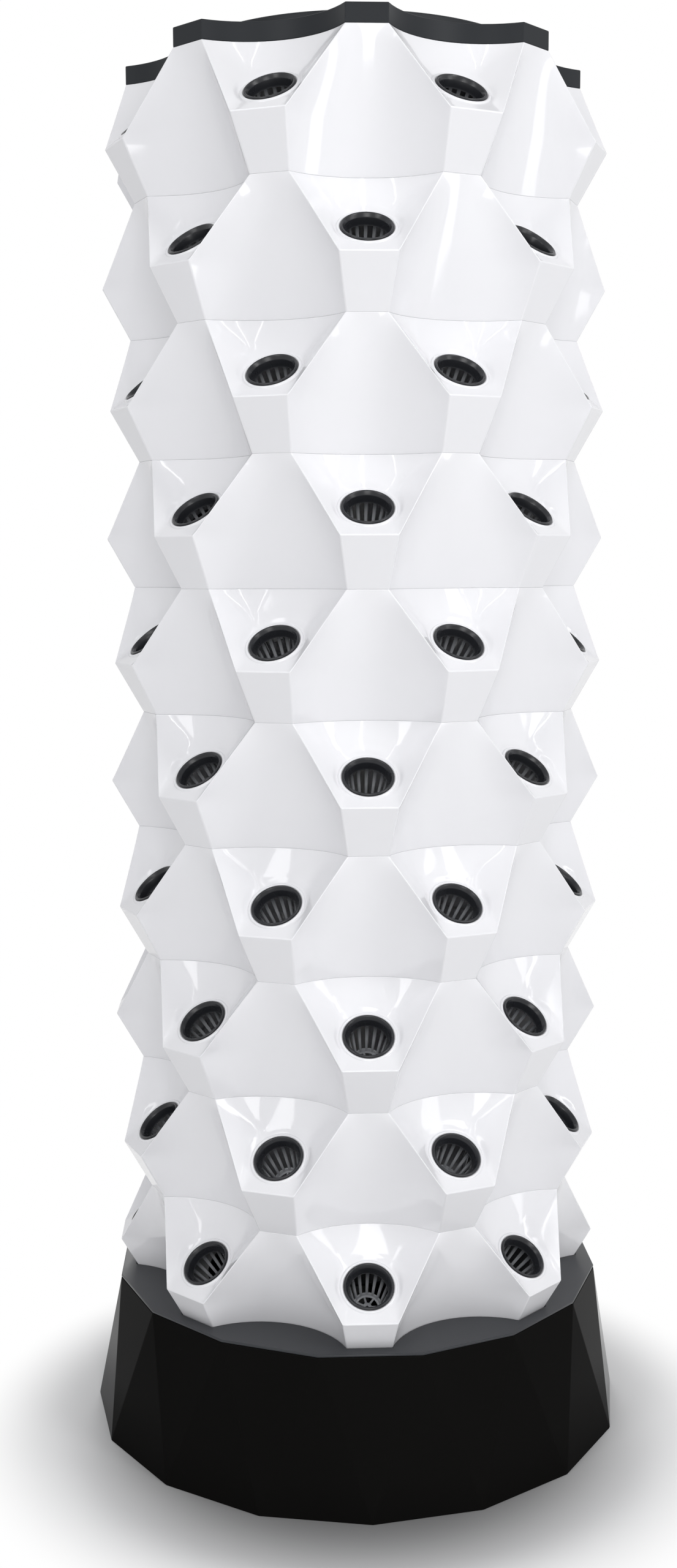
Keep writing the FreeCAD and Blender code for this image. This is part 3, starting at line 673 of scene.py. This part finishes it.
def add_cup_floor(bm):
    """The foot band, with a ring and spokes that leave the floor open."""
    foot = -BASKET_LENGTH
    top = foot + FOOT_BAND
    floor = foot + CUP_FLOOR
    inside = basket_radius(foot) - BASKET_WALL
    band = [
        (basket_radius(top), top), (basket_radius(foot), foot), (inside - 2, foot),
        (inside - 2, floor), (inside, floor), (basket_radius(top) - BASKET_WALL, top),
    ]
    lathe(bm, rounded(band, 0.4, 2), 24)
    hub = [(HUB_RADIUS, foot), (HUB_RADIUS, floor), (HUB_BORE, floor), (HUB_BORE, foot)]
    lathe(bm, hub, 24)
    for spoke in range(SPOKES):
        turn = Matrix.Rotation(2 * math.pi * spoke / SPOKES, 4, "Z")
        rows = []
        for reach in (HUB_RADIUS - 0.5, inside - 1.5):
            corners = ((-1, foot), (1, foot), (1, floor), (-1, floor))
            rows.append([
                bm.verts.new(turn @ (Vector((reach, side, height)) * MM)) for side, height in corners
            ])
        quads(bm, rows, closed=True)


def seat_place(azimuth):
    """Where a pot's seat is in its ring: z out of the panel and y up its slope."""
    skin = Skin(0)
    centre = spot(azimuth, *skin.seat(0, 0, 0))
    across = (spot(azimuth, *skin.seat(1, 0, 0)) - centre).normalized()
    along = (spot(azimuth, *skin.seat(0, 1, 0)) - centre).normalized()
    out = across.cross(along)
    place = Matrix((across, along, out)).transposed().to_4x4()
    place.translation = centre
    return place


def cup_place(start, k):
    """A cup in its pot, each turned a little further than the last as cups are when dropped in."""
    lift = Matrix.Translation((0, 0, CUP_LIFT * MM))
    return seat_place(start + k * PITCH_ANGLE) @ lift @ Matrix.Rotation(math.radians(CUP_TURN * k), 4, "Z")


def ring_place(row):
    """Row 1 is the top one."""
    return Matrix.Translation((0, 0, (COLUMN_TOP - (row - 1) * LAYER_PITCH) * MM))


# Tank and its deck

def tank_mesh():
    """Triangles between a foot and a rim that is turned half a side, with the same shape inside."""
    bm = bmesh.new()
    weight = bm.edges.layers.float.new("bevel_weight_edge")
    rims = []
    for inset, low in ((0, 0), (TANK_WALL, TANK_WALL)):
        half = 180 / TANK_SIDES
        outlines = (
            (ring_of(TANK_SIDES, TANK_FOOT_RADIUS - inset), low),
            (ring_of(TANK_SIDES, TANK_RIM_RADIUS - inset, half), TANK_HEIGHT),
        )
        foot, rim = (
            [bm.verts.new(Vector((x, y, up)) * MM) for x, y in outline] for outline, up in outlines
        )
        for i in range(TANK_SIDES):
            j = (i + 1) % TANK_SIDES
            bm.faces.new((foot[i], foot[j], rim[i]))
            bm.faces.new((rim[i], foot[j], rim[j]))
        bm.faces.new(foot)
        rims.append(rim)
        if not inset:
            for edge in bm.edges:
                edge[weight] = 1
    quads(bm, rims, closed=True)
    return bevelled(mesh_of(bm, "tank"), 1.2, by_weight=True)


def window_outline(azimuth):
    """One of the openings in the recess that let the water fall back into the tank."""
    inner, outer, half, steps = 50, 180, 31, 10
    turns = [azimuth + half * (2 * i / steps - 1) for i in range(steps + 1)]
    reach = [(inner, turn) for turn in reversed(turns)] + [(outer, turn) for turn in turns]
    return [tuple(spot(turn, out, 0, 0).xy / MM) for out, turn in reach]


def service_spot(azimuth):
    return tuple(spot(azimuth, SERVICE_RADIUS, 0, 0).xy / MM)


def deck_mesh():
    """The flange, the plug that drops into the tank, and the recess that the lowest ring stands in."""
    half = 180 / TANK_SIDES
    mouth = TANK_RIM_RADIUS - TANK_WALL - DECK_PLAY
    lowest_seam = RECESS_FLOOR + LAYER_PITCH
    flange = block(ring_of(TANK_SIDES, TANK_RIM_RADIUS, half), TANK_HEIGHT, DECK_TOP, "deck")
    plug = block(ring_of(TANK_SIDES, mouth, half), DECK_FOOT, TANK_HEIGHT + 1)
    recess = block(ring_section(DECK_TOP - lowest_seam, 0, COLUMN_PLAY), RECESS_FLOOR, DECK_TOP + 1)
    cuts = [recess, block(ring_of(48, PIPE_RADIUS + PIPE_PLAY), DECK_FOOT - 1, DECK_TOP)]
    cuts += [block(window_outline(azimuth), DECK_FOOT - 1, DECK_TOP) for azimuth in QUARTERS]
    for azimuth, radius in ((FILL_AZIMUTH, PLUG_RADIUS + 0.4), (CABLE_AZIMUTH, GROMMET_NECK + 0.3)):
        cuts.append(block(ring_of(48, radius, 0, service_spot(azimuth)), DECK_FOOT - 1, DECK_TOP + 1))
    tongues = [
        tongue(azimuth + PITCH_ANGLE, RECESS_FLOOR - 1, RECESS_FLOOR + TONGUE_HEIGHT)
        for azimuth in QUARTERS
    ]
    return joined(bevelled(carved(flange, [plug], cuts), 1.1), *tongues)


def service_place(azimuth):
    x, y = service_spot(azimuth)
    return Matrix.Translation(Vector((x, y, DECK_TOP)) * MM)


def fluted(radius, flutes, steps):
    """A round outline with flutes, each in a few steps."""
    points = []
    for i in range(flutes * steps):
        turn = 2 * math.pi * i / (flutes * steps)
        reach = radius + FLUTE_DEPTH * math.cos(turn * flutes)
        points.append((reach * math.cos(turn), reach * math.sin(turn)))
    return points


def fill_cap_mesh():
    """A plug with a finely fluted flange and a grip across its top."""
    flange = bevelled(block(fluted(CAP_RADIUS, CAP_FLUTES, 4), 0, CAP_FLANGE, "fill_cap"), 0.7)
    profile = [
        (0, 1), (0, -PLUG_DEPTH), (PLUG_RADIUS - 0.6, -PLUG_DEPTH), (PLUG_RADIUS, -1), (PLUG_RADIUS, 1)
    ]
    plug = turned("plug", rounded(profile, 0.8))
    grip = bevelled(bar((-17, -3, 3), (17, 3, 13)), 1.8, segments=4)
    cap = joined(flange, plug, grip)
    cap.transform(service_place(FILL_AZIMUTH))
    return cap


def grommet_mesh():
    profile = [
        (CABLE_RADIUS, 3), (GROMMET_RADIUS - 2.5, 3), (GROMMET_RADIUS, 1.2), (GROMMET_RADIUS, 0),
        (GROMMET_NECK, 0), (GROMMET_NECK, -GROMMET_DEPTH), (CABLE_RADIUS, -GROMMET_DEPTH),
    ]
    return turned("grommet", rounded(profile, 0.9), place=service_place(CABLE_AZIMUTH))


# Cover, and what hangs under it

def cover_mesh():
    """A scalloped lid with a skirt and a low raised disc."""
    start = PITCH_ANGLE / 2
    lid = block(ring_section(0, start), COLUMN_TOP, COLUMN_TOP + LID_HEIGHT, "cover")
    roof = COLUMN_TOP + LID_HEIGHT - LID_ROOF
    hollow = block(ring_section(0, start, -SHELL), COLUMN_TOP - 1, roof)
    low, high = COLUMN_TOP + LID_HEIGHT - 2, COLUMN_TOP + DISC_TOP
    profile = [(0, low), (DISC_RADIUS, low), (DISC_RADIUS, high), (0, high)]
    disc = turned("disc", rounded(profile, 2.4), sides=128)
    return joined(bevelled(carved(lid, cuts=[hollow]), FOLD_ROUND), disc)


def tray_mesh():
    """A shallow pan with a rolled rim, four arms and drip holes."""
    hole = PIPE_RADIUS + 0.6
    foot, floor = -TRAY_DEPTH, TRAY_WALL - TRAY_DEPTH
    inside = TRAY_RADIUS - TRAY_WALL
    profile = [
        (hole, foot), (TRAY_RADIUS, foot), (TRAY_RADIUS, -2), (TRAY_RIM, -2), (TRAY_RIM, 0),
        (inside, 0), (inside, floor), (hole + TRAY_WALL, floor), (hole + TRAY_WALL, floor + 3),
        (hole, floor + 3),
    ]
    pan = turned("tray", rounded(profile, 1.4), sides=96)
    drips = ring_of(DRIPS, DRIP_REACH, 180 / DRIPS)
    holes = [block(ring_of(16, DRIP_RADIUS, 0, middle), foot - 2, floor + 5) for middle in drips]
    arms = []
    for azimuth in QUARTERS:
        arm = bevelled(bar((inside + 2, -ARM_HALF, -ARM_DEPTH), (ARM_REACH, ARM_HALF, 0)), 1)
        arm.transform(Matrix.Rotation(math.radians(azimuth), 4, "Z"))
        arms.append(arm)
    tray = joined(carved(pan, cuts=holes), *arms)
    tray.transform(Matrix.Translation((0, 0, TRAY_TOP * MM)))
    return tray


def spreader_mesh():
    """An inverted cup with a notch on each side of its foot."""
    ceiling, inside = HOOD_HEIGHT - HOOD_WALL, HOOD_RADIUS - HOOD_WALL
    profile = [
        (0, HOOD_HEIGHT), (0, ceiling), (inside, ceiling), (inside, 0),
        (HOOD_RADIUS, 0), (HOOD_RADIUS, HOOD_HEIGHT),
    ]
    hood = turned("spreader", rounded(profile, 1.6))
    reach = HOOD_RADIUS + 2
    notches = [
        bar((-reach, -NOTCH_HALF, -1), (reach, NOTCH_HALF, NOTCH_HEIGHT)),
        bar((-NOTCH_HALF, -reach, -1), (NOTCH_HALF, reach, NOTCH_HEIGHT)),
    ]
    spreader = bevelled(carved(hood, cuts=notches), 0.4, angle=50)
    spreader.transform(Matrix.Translation((0, 0, TRAY_FLOOR * MM)))
    return spreader


def lower_pipe_mesh():
    """The lower length, with its bell at the joint."""
    bore = PIPE_RADIUS - PIPE_WALL
    socket = PIPE_RADIUS + PIPE_PLAY
    bell = socket + PIPE_WALL
    mouth = PIPE_JOINT + BELL_LENGTH
    profile = [
        (bore, PUMP_TOP), (PIPE_RADIUS, PUMP_TOP), (PIPE_RADIUS, PIPE_JOINT - 8),
        (bell, PIPE_JOINT - 2), (bell, mouth), (socket, mouth), (socket, PIPE_JOINT),
        (bore, PIPE_JOINT),
    ]
    return turned("lower_pipe", rounded(profile, 0.8))


def upper_pipe_mesh():
    bore = PIPE_RADIUS - PIPE_WALL
    top = TRAY_FLOOR + 6
    profile = [(bore, PIPE_JOINT), (PIPE_RADIUS, PIPE_JOINT), (PIPE_RADIUS, top), (bore, top)]
    return turned("upper_pipe", rounded(profile, 0.8))


# Pump

ALONG_Y = Matrix.Rotation(math.radians(-90), 4, "X")


def pump_place(y):
    """Where a piece of the pump turns, with its own z axis to the back."""
    return Matrix.Translation(Vector((0, y, ROTOR_UP)) * MM) @ ALONG_Y


def pump_rod(y, radius, length):
    """A round cutter along the pump's axis."""
    rod = block(ring_of(32, radius), 0, length)
    rod.transform(pump_place(y))
    return rod


def pump_body_mesh():
    """A housing with cooling grooves in its flanks, and the spout that the pipe stands on."""
    low, high = (-PUMP_HALF, PUMP_FRONT, PUMP_FOOT), (PUMP_HALF, PUMP_BACK, PUMP_TOP)
    housing = bevelled(bar(low, high, "pump_body"), 3, segments=4)
    spout = block(ring_of(48, SPOUT_RADIUS), PUMP_TOP - 1, SPOUT_TOP)
    way_up = block(ring_of(48, SPOUT_BORE), 45, SPOUT_TOP + 1)
    way_in = bar((-5, PUMP_FRONT - 1, 45), (5, 0, 55))
    cuts = [way_up, way_in, pump_rod(PUMP_FRONT - 1, ROTOR_RADIUS + 0.5, 31)]
    for step in range(GROOVES):
        front = PUMP_FRONT + 9 + 8 * step
        back = front + GROOVE_WIDTH
        for side in (-PUMP_HALF, PUMP_HALF):
            cuts.append(bar((side - 1, front, PUMP_FOOT + 6), (side + 1, back, PUMP_TOP - 6)))
    return bevelled(carved(housing, [spout], cuts), 0.4, angle=50)


def pump_cover_mesh():
    """The chamber's cover, with its inlet slots and the hole for the shutter's pin."""
    foot, top = 13, 55
    inner_half, inner_front = CHAMBER_HALF - CHAMBER_WALL, CHAMBER_FRONT + CHAMBER_WALL
    low, high = (-CHAMBER_HALF, CHAMBER_FRONT, foot), (CHAMBER_HALF, PUMP_FRONT, top)
    shell = bevelled(bar(low, high, "pump_cover"), 2.4)
    low = (-inner_half, inner_front, foot + CHAMBER_WALL)
    high = (inner_half, PUMP_FRONT + 1, top - CHAMBER_WALL)
    cuts = [bar(low, high), pump_rod(CHAMBER_FRONT - 1, PIN_RADIUS + 0.3, 4)]
    for x in (-20, -12, 12, 20):
        cuts.append(bar((x - 2, CHAMBER_FRONT - 1, foot + 8), (x + 2, inner_front + 0.5, top - 8)))
    return bevelled(carved(shell, cuts=cuts), 0.4, angle=50)


def impeller_mesh():
    """A rotor with four vanes at its front."""
    profile = [(0, 0), (ROTOR_RADIUS, 0), (ROTOR_RADIUS, ROTOR_LENGTH), (0, ROTOR_LENGTH)]
    rotor = turned("impeller", rounded(profile, 0.8), sides=32)
    hub = turned("hub", rounded([(0, 0.3), (7, 0.3), (7, 8.7), (0, 8.7)], 0.8), sides=32)
    vanes = []
    for quarter in QUARTERS:
        vane = bevelled(bar((0, -1, 0.5), (VANE_REACH, 1, 8.5)), 0.6)
        vane.transform(Matrix.Rotation(math.radians(quarter), 4, "Z"))
        vanes.append(vane)
    impeller = joined(rotor, hub, *vanes)
    impeller.transform(pump_place(CHAMBER_FRONT + 3))
    return impeller


def shutter_mesh():
    """A blade that turns over the inlet slots, with a fluted knob."""
    blade = bevelled(bar((-7, -BLADE_HALF, -2), (7, BLADE_HALF, 0), "shutter"), 0.7)
    knob = bevelled(block(fluted(KNOB_RADIUS, 12, 6), -6, -1.5), 0.6)
    profile = [(0, -1), (PIN_RADIUS, -1), (PIN_RADIUS, CHAMBER_WALL), (0, CHAMBER_WALL)]
    pin = turned("pin", rounded(profile, 0.4), sides=32)
    shutter = joined(blade, knob, pin)
    shutter.transform(pump_place(CHAMBER_FRONT))
    return shutter


def feet_mesh():
    """Four suction feet, hollow under their skirts."""
    profile = [(0, 6), (8.2, 4), (9, 4), (9, 4.8), (5.2, 7.6), (4.5, 10), (0, 10)]
    places = [Matrix.Translation(Vector((x, y, 0)) * MM) for x in (-18, 18) for y in (-5, 27)]
    return joined(*[turned("feet", rounded(profile, 0.4), sides=32, place=place) for place in places])


# Materials

def socket_list(group, wanted, way):
    for name, kind, value in wanted:
        socket = group.interface.new_socket(name=name, in_out=way, socket_type=kind)
        if value is not None:
            socket.default_value = value


def plastic_surface():
    """Moulded plastic: a slow drift of shade, a finer cloud in the gloss and a slight waviness."""
    group = bpy.data.node_groups.new("moulded_surface", "ShaderNodeTree")
    socket_list(group, [
        ("Colour", "NodeSocketColor", (0.8, 0.8, 0.8, 1)),
        ("Drift", "NodeSocketFloat", 0.04),
        ("Roughness", "NodeSocketFloat", 0.2),
        ("Cloud", "NodeSocketFloat", 0.06),
        ("Wave", "NodeSocketFloat", 0.05),
    ], "INPUT")
    socket_list(group, [
        ("Colour", "NodeSocketColor", None),
        ("Roughness", "NodeSocketFloat", None),
        ("Normal", "NodeSocketVector", None),
    ], "OUTPUT")
    made = group.nodes
    links = group.links
    start = made.new("NodeGroupInput")
    end = made.new("NodeGroupOutput")
    place = made.new("ShaderNodeTexCoord")

    def noise(scale, detail):
        node = made.new("ShaderNodeTexNoise")
        node.inputs["Scale"].default_value = scale
        node.inputs["Detail"].default_value = detail
        links.new(place.outputs["Object"], node.inputs["Vector"])
        return node.outputs["Fac"]

    def about(value, middle, amount):
        """middle + (value - half) times twice the amount"""
        centred = made.new("ShaderNodeMath")
        centred.operation = "SUBTRACT"
        links.new(value, centred.inputs[0])
        centred.inputs[1].default_value = 0.5
        scaled = made.new("ShaderNodeMath")
        scaled.operation = "MULTIPLY"
        links.new(centred.outputs[0], scaled.inputs[0])
        links.new(amount, scaled.inputs[1])
        total = made.new("ShaderNodeMath")
        total.operation = "ADD"
        links.new(scaled.outputs[0], total.inputs[0])
        if isinstance(middle, float):
            total.inputs[1].default_value = middle
        else:
            links.new(middle, total.inputs[1])
        return total.outputs[0]

    tone = about(noise(4, 3), 1.0, start.outputs["Drift"])
    shade = made.new("ShaderNodeVectorMath")
    shade.operation = "SCALE"
    links.new(start.outputs["Colour"], shade.inputs[0])
    links.new(tone, shade.inputs["Scale"])
    links.new(shade.outputs[0], end.inputs["Colour"])
    gloss = about(noise(30, 4), start.outputs["Roughness"], start.outputs["Cloud"])
    links.new(gloss, end.inputs["Roughness"])
    bump = made.new("ShaderNodeBump")
    bump.inputs["Distance"].default_value = MM
    links.new(start.outputs["Wave"], bump.inputs["Strength"])
    links.new(noise(22, 2), bump.inputs["Height"])
    links.new(bump.outputs["Normal"], end.inputs["Normal"])
    return group


SURFACE = plastic_surface()


def colour_mix(tree, share, first, second):
    """The colour from the first to the second as the share goes from 0 to 1."""
    blend = tree.nodes.new("ShaderNodeMix")
    blend.data_type = "RGBA"
    colours = [socket for socket in blend.inputs if socket.type == "RGBA"]
    for socket, colour in zip(colours, (first, second)):
        socket.default_value = (*colour, 1)
    tree.links.new(share, blend.inputs["Factor"])
    return [socket for socket in blend.outputs if socket.type == "RGBA"][0]


def painted_rib_light(material, near, painted_light_colour):
    """Painted light: the cup's own colour at its lip, growing paler down its basket to stand for the light
    that its ribs catch.
    """
    made = material.node_tree.nodes
    links = material.node_tree.links
    depth = made.new("ShaderNodeAttribute")
    depth.attribute_name = "depth"
    share = made.new("ShaderNodeMapRange")
    share.inputs["From Min"].default_value = PAINTED_LIGHT_START
    share.inputs["From Max"].default_value = PAINTED_LIGHT_FULL
    links.new(depth.outputs["Fac"], share.inputs["Value"])
    return colour_mix(material.node_tree, share.outputs["Result"], near, painted_light_colour)


def plastic(name, colour, roughness, drift=0.04, cloud=0.06, wave=0.05, specular=0.5, painted_light_colour=None):
    """A plastic finish. Its plain numbers sit on the shader itself."""
    material = bpy.data.materials.new(name)
    material.use_nodes = True
    made = material.node_tree.nodes
    links = material.node_tree.links
    shader = made["Principled BSDF"]
    surface = made.new("ShaderNodeGroup")
    surface.node_tree = SURFACE
    surface.inputs["Colour"].default_value = (*colour, 1)
    surface.inputs["Drift"].default_value = drift
    surface.inputs["Roughness"].default_value = roughness
    surface.inputs["Cloud"].default_value = cloud
    surface.inputs["Wave"].default_value = wave
    # Painted light: the colour grows paler down a cup's basket
    if painted_light_colour:
        links.new(painted_rib_light(material, colour, painted_light_colour), surface.inputs["Colour"])
    links.new(surface.outputs["Colour"], shader.inputs["Base Color"])
    links.new(surface.outputs["Roughness"], shader.inputs["Roughness"])
    links.new(surface.outputs["Normal"], shader.inputs["Normal"])
    shader.inputs["Specular IOR Level"].default_value = specular
    return material


FINISHES = {
    "ring_white": plastic(
        "ring_white", (0.80, 0.80, 0.82), 0.08, drift=0.02, cloud=0.03, wave=0.06
    ),
    # The cup's paler colour down its basket is painted light on its ribs
    "cup_black": plastic(
        "cup_black", (0.016, 0.017, 0.02), 0.26,
        drift=0.3, cloud=0.12, specular=0.35, painted_light_colour=(0.42, 0.43, 0.45)
    ),
    "cover_charcoal": plastic(
        "cover_charcoal", (0.012, 0.014, 0.017), 0.44, drift=0.2, specular=0.2
    ),
    "tank_black": plastic(
        "tank_black", (0.0055, 0.0053, 0.005), 0.08, drift=0.3, wave=0.04, specular=0.008
    ),
    "deck_grey": plastic("deck_grey", (0.028, 0.03, 0.034), 0.32, drift=0.15, specular=0.3),
    "tray_grey": plastic("tray_grey", (0.35, 0.36, 0.37), 0.35),
    "pipe_white": plastic("pipe_white", (0.7, 0.7, 0.68), 0.3),
    "pump_black": plastic("pump_black", (0.02, 0.02, 0.022), 0.45, drift=0.2),
    "rotor_white": plastic("rotor_white", (0.6, 0.6, 0.56), 0.4),
    "rubber_black": plastic("rubber_black", (0.012, 0.012, 0.012), 0.7, drift=0.3),
}


# The pieces in their places

single_cup = cup_mesh()
for turned_row in (0, 1):
    start = PITCH_ANGLE / 2 * turned_row
    ring = ring_mesh(start)
    pots = [cup_place(start, k) for k in range(POTS)]
    cups = joined(*[moved_copy(single_cup, pot) for pot in pots])
    for row in range(2 - turned_row, RINGS + 1, 2):
        where = ring_place(row)
        placed(f"ring_{row:02d}", ring, "tower", f"planter_ring_{row:02d}", "ring_white", where)
        if row == LOOSE_ROW:
            for k, pot in enumerate(pots, start=1):
                placed(f"cup_{k}", single_cup, f"cup_{k}", f"net_cup_{k}", "cup_black", where @ pot)
        else:
            placed(f"cups_row_{row:02d}", cups, "tower", f"net_cups_row_{row:02d}", "cup_black", where)

for name, mesh, body, node, finish in (
    ("tank", tank_mesh(), "tower", "water_tank", "tank_black"),
    ("deck", deck_mesh(), "tower", "tank_deck", "deck_grey"),
    ("filler_cap", fill_cap_mesh(), "cap", "fill_cap", "deck_grey"),
    ("grommet", grommet_mesh(), "tower", "cable_grommet", "rubber_black"),
    ("cover", cover_mesh(), "cover", "top_cover", "cover_charcoal"),
    ("tray", tray_mesh(), "tower", "distribution_tray", "tray_grey"),
    ("spreader", spreader_mesh(), "tower", "flow_spreader", "tray_grey"),
    ("lower_pipe", lower_pipe_mesh(), "tower", "riser_pipe_lower", "pipe_white"),
    ("upper_pipe", upper_pipe_mesh(), "tower", "riser_pipe_upper", "pipe_white"),
    ("pump_housing", pump_body_mesh(), "tower", "pump_body", "pump_black"),
    ("pump_front", pump_cover_mesh(), "tower", "pump_cover", "pump_black"),
    ("impeller", impeller_mesh(), "rotor", "pump_impeller", "rotor_white"),
    ("shutter", shutter_mesh(), "shutter", "flow_shutter", "pump_black"),
    ("feet", feet_mesh(), "tower", "suction_feet", "rubber_black"),
):
    placed(name, mesh, body, node, finish)


# Floor, lamps and camera

# Metres in front of the axis, and the near and far reach from there, for the painted shadow under the
# tank's front and for the run out to white
PAINTED_SHADOW_FRONT = (0.12, 0.18, 0.36)
WHITE_RUNOUT = (0.06, 0.33, 0.47)

# Name, azimuth, distance, height, height aimed at, size and watts
LAMPS = (
    ("key", 45, 2.6, 2.5, 0.9, (0.6, 1.4), 16),
    ("window", 60, 2.8, 1.2, 0.8, (0.8, 1.8), 12),
    ("front", 0, 3.0, 1.3, 0.8, (1.0, 1.6), 21),
    ("fill", -40, 2.8, 2.2, 0.9, (0.8, 1.6), 15),
    ("back", 180, 2.8, 0.8, 0.8, (1.0, 1.4), 14),
    ("left_tube", -25, 1.6, 2.9, 1.0, (0.04, 1.4), 2),
    ("middle_tube", 8, 1.6, 2.9, 1.0, (0.04, 1.4), 2),
    ("right_tube", 32, 1.6, 2.9, 1.0, (0.04, 1.4), 2),
)


def seen_plainly(tree):
    """1 for what the camera sees, straight on, in a gloss or through glass."""
    path = tree.nodes.new("ShaderNodeLightPath")
    total = path.outputs["Is Camera Ray"]
    for name in ("Is Glossy Ray", "Is Transmission Ray"):
        longer = tree.nodes.new("ShaderNodeMath")
        longer.operation = "MAXIMUM"
        tree.links.new(total, longer.inputs[0])
        tree.links.new(path.outputs[name], longer.inputs[1])
        total = longer.outputs[0]
    return total


def floor_material():
    """A pale floor with a painted shadow under the tank's front, that keeps the real shadow and runs out
    to plain white.
    """
    material = bpy.data.materials.new("floor")
    material.use_nodes = True
    made = material.node_tree.nodes
    links = material.node_tree.links
    made["Principled BSDF"].inputs["Roughness"].default_value = 0.6
    white = made.new("ShaderNodeEmission")
    white.inputs["Strength"].default_value = 1
    place = made.new("ShaderNodeTexCoord")

    def eased_reach(front, near, far):
        """0 to 1 as the distance from a spot in front of the axis goes from near to far."""
        reach = made.new("ShaderNodeVectorMath")
        reach.operation = "DISTANCE"
        reach.inputs[1].default_value = (0, -front, 0)
        links.new(place.outputs["Object"], reach.inputs[0])
        eased = made.new("ShaderNodeMapRange")
        eased.interpolation_type = "SMOOTHSTEP"
        eased.inputs["From Min"].default_value = near
        eased.inputs["From Max"].default_value = far
        links.new(reach.outputs["Value"], eased.inputs["Value"])
        return eased.outputs["Result"]

    # Painted shadow: the floor's colour darkens towards a spot in front of the tank
    tone = colour_mix(material.node_tree, eased_reach(*PAINTED_SHADOW_FRONT), (0.2, 0.2, 0.2), (0.8, 0.8, 0.8))
    links.new(tone, made["Principled BSDF"].inputs["Base Color"])
    seen = made.new("ShaderNodeMath")
    seen.operation = "MULTIPLY"
    blend = made.new("ShaderNodeMixShader")
    links.new(eased_reach(*WHITE_RUNOUT), seen.inputs[0])
    links.new(seen_plainly(material.node_tree), seen.inputs[1])
    links.new(seen.outputs[0], blend.inputs[0])
    links.new(made["Principled BSDF"].outputs[0], blend.inputs[1])
    links.new(white.outputs[0], blend.inputs[2])
    links.new(blend.outputs[0], made["Material Output"].inputs["Surface"])
    return material


def add_floor():
    bm = bmesh.new()
    bmesh.ops.create_circle(bm, cap_ends=True, radius=6, segments=96)
    mesh = bpy.data.meshes.new("floor")
    bm.to_mesh(mesh)
    bm.free()
    mesh.materials.append(floor_material())
    floor = bpy.data.objects.new("floor", mesh)
    bpy.context.scene.collection.objects.link(floor)


def add_world():
    """White to the camera, and a softer pale room for the light."""
    world = bpy.data.worlds.new("room")
    bpy.context.scene.world = world
    world.use_nodes = True
    made = world.node_tree.nodes
    links = world.node_tree.links
    room = made["Background"]
    room.inputs["Color"].default_value = (0.97, 0.975, 1, 1)
    room.inputs["Strength"].default_value = 0.47
    white = made.new("ShaderNodeBackground")
    white.inputs["Color"].default_value = (1, 1, 1, 1)
    blend = made.new("ShaderNodeMixShader")
    links.new(seen_plainly(world.node_tree), blend.inputs[0])
    links.new(room.outputs[0], blend.inputs[1])
    links.new(white.outputs[0], blend.inputs[2])
    links.new(blend.outputs[0], made["World Output"].inputs["Surface"])


def add_lamp(name, azimuth, away, height, target, size, power):
    """A soft box that faces a height on the tower's axis."""
    lamp = bpy.data.lights.new(name, "AREA")
    lamp.shape = "RECTANGLE"
    lamp.size, lamp.size_y = size
    lamp.energy = power
    item = bpy.data.objects.new(name, lamp)
    bpy.context.scene.collection.objects.link(item)
    turn = math.radians(azimuth)
    item.location = (away * math.sin(turn), -away * math.cos(turn), height)
    look = Vector((0, 0, target)) - item.location
    item.rotation_euler = look.to_track_quat("-Z", "Y").to_euler()


def add_camera():
    """The camera, in metres and radians, at the photograph's distance, height and angle."""
    away = 2.0379
    height = 1.0068
    pitch = 0.1258
    heading = 0.0096
    roll = -0.0037
    orbit = -0.0537
    picture_height = 2560
    focal_pixels = 2840.6
    camera = bpy.data.cameras.new("camera")
    camera.sensor_fit = "VERTICAL"
    camera.sensor_height = 36
    camera.lens = focal_pixels / picture_height * camera.sensor_height
    item = bpy.data.objects.new("camera", camera)
    bpy.context.scene.collection.objects.link(item)
    item.matrix_world = (
        Matrix.Rotation(orbit, 4, "Z") @ Matrix.Translation((0, -away, height))
        @ Matrix.Rotation(heading, 4, "Z") @ Matrix.Rotation(math.pi / 2 - pitch, 4, "X")
        @ Matrix.Rotation(roll, 4, "Z")
    )
    bpy.context.scene.camera = item


add_floor()
add_world()
for lamp in LAMPS:
    add_lamp(*lamp)
add_camera()
bpy.context.scene.view_settings.view_transform = "Standard"
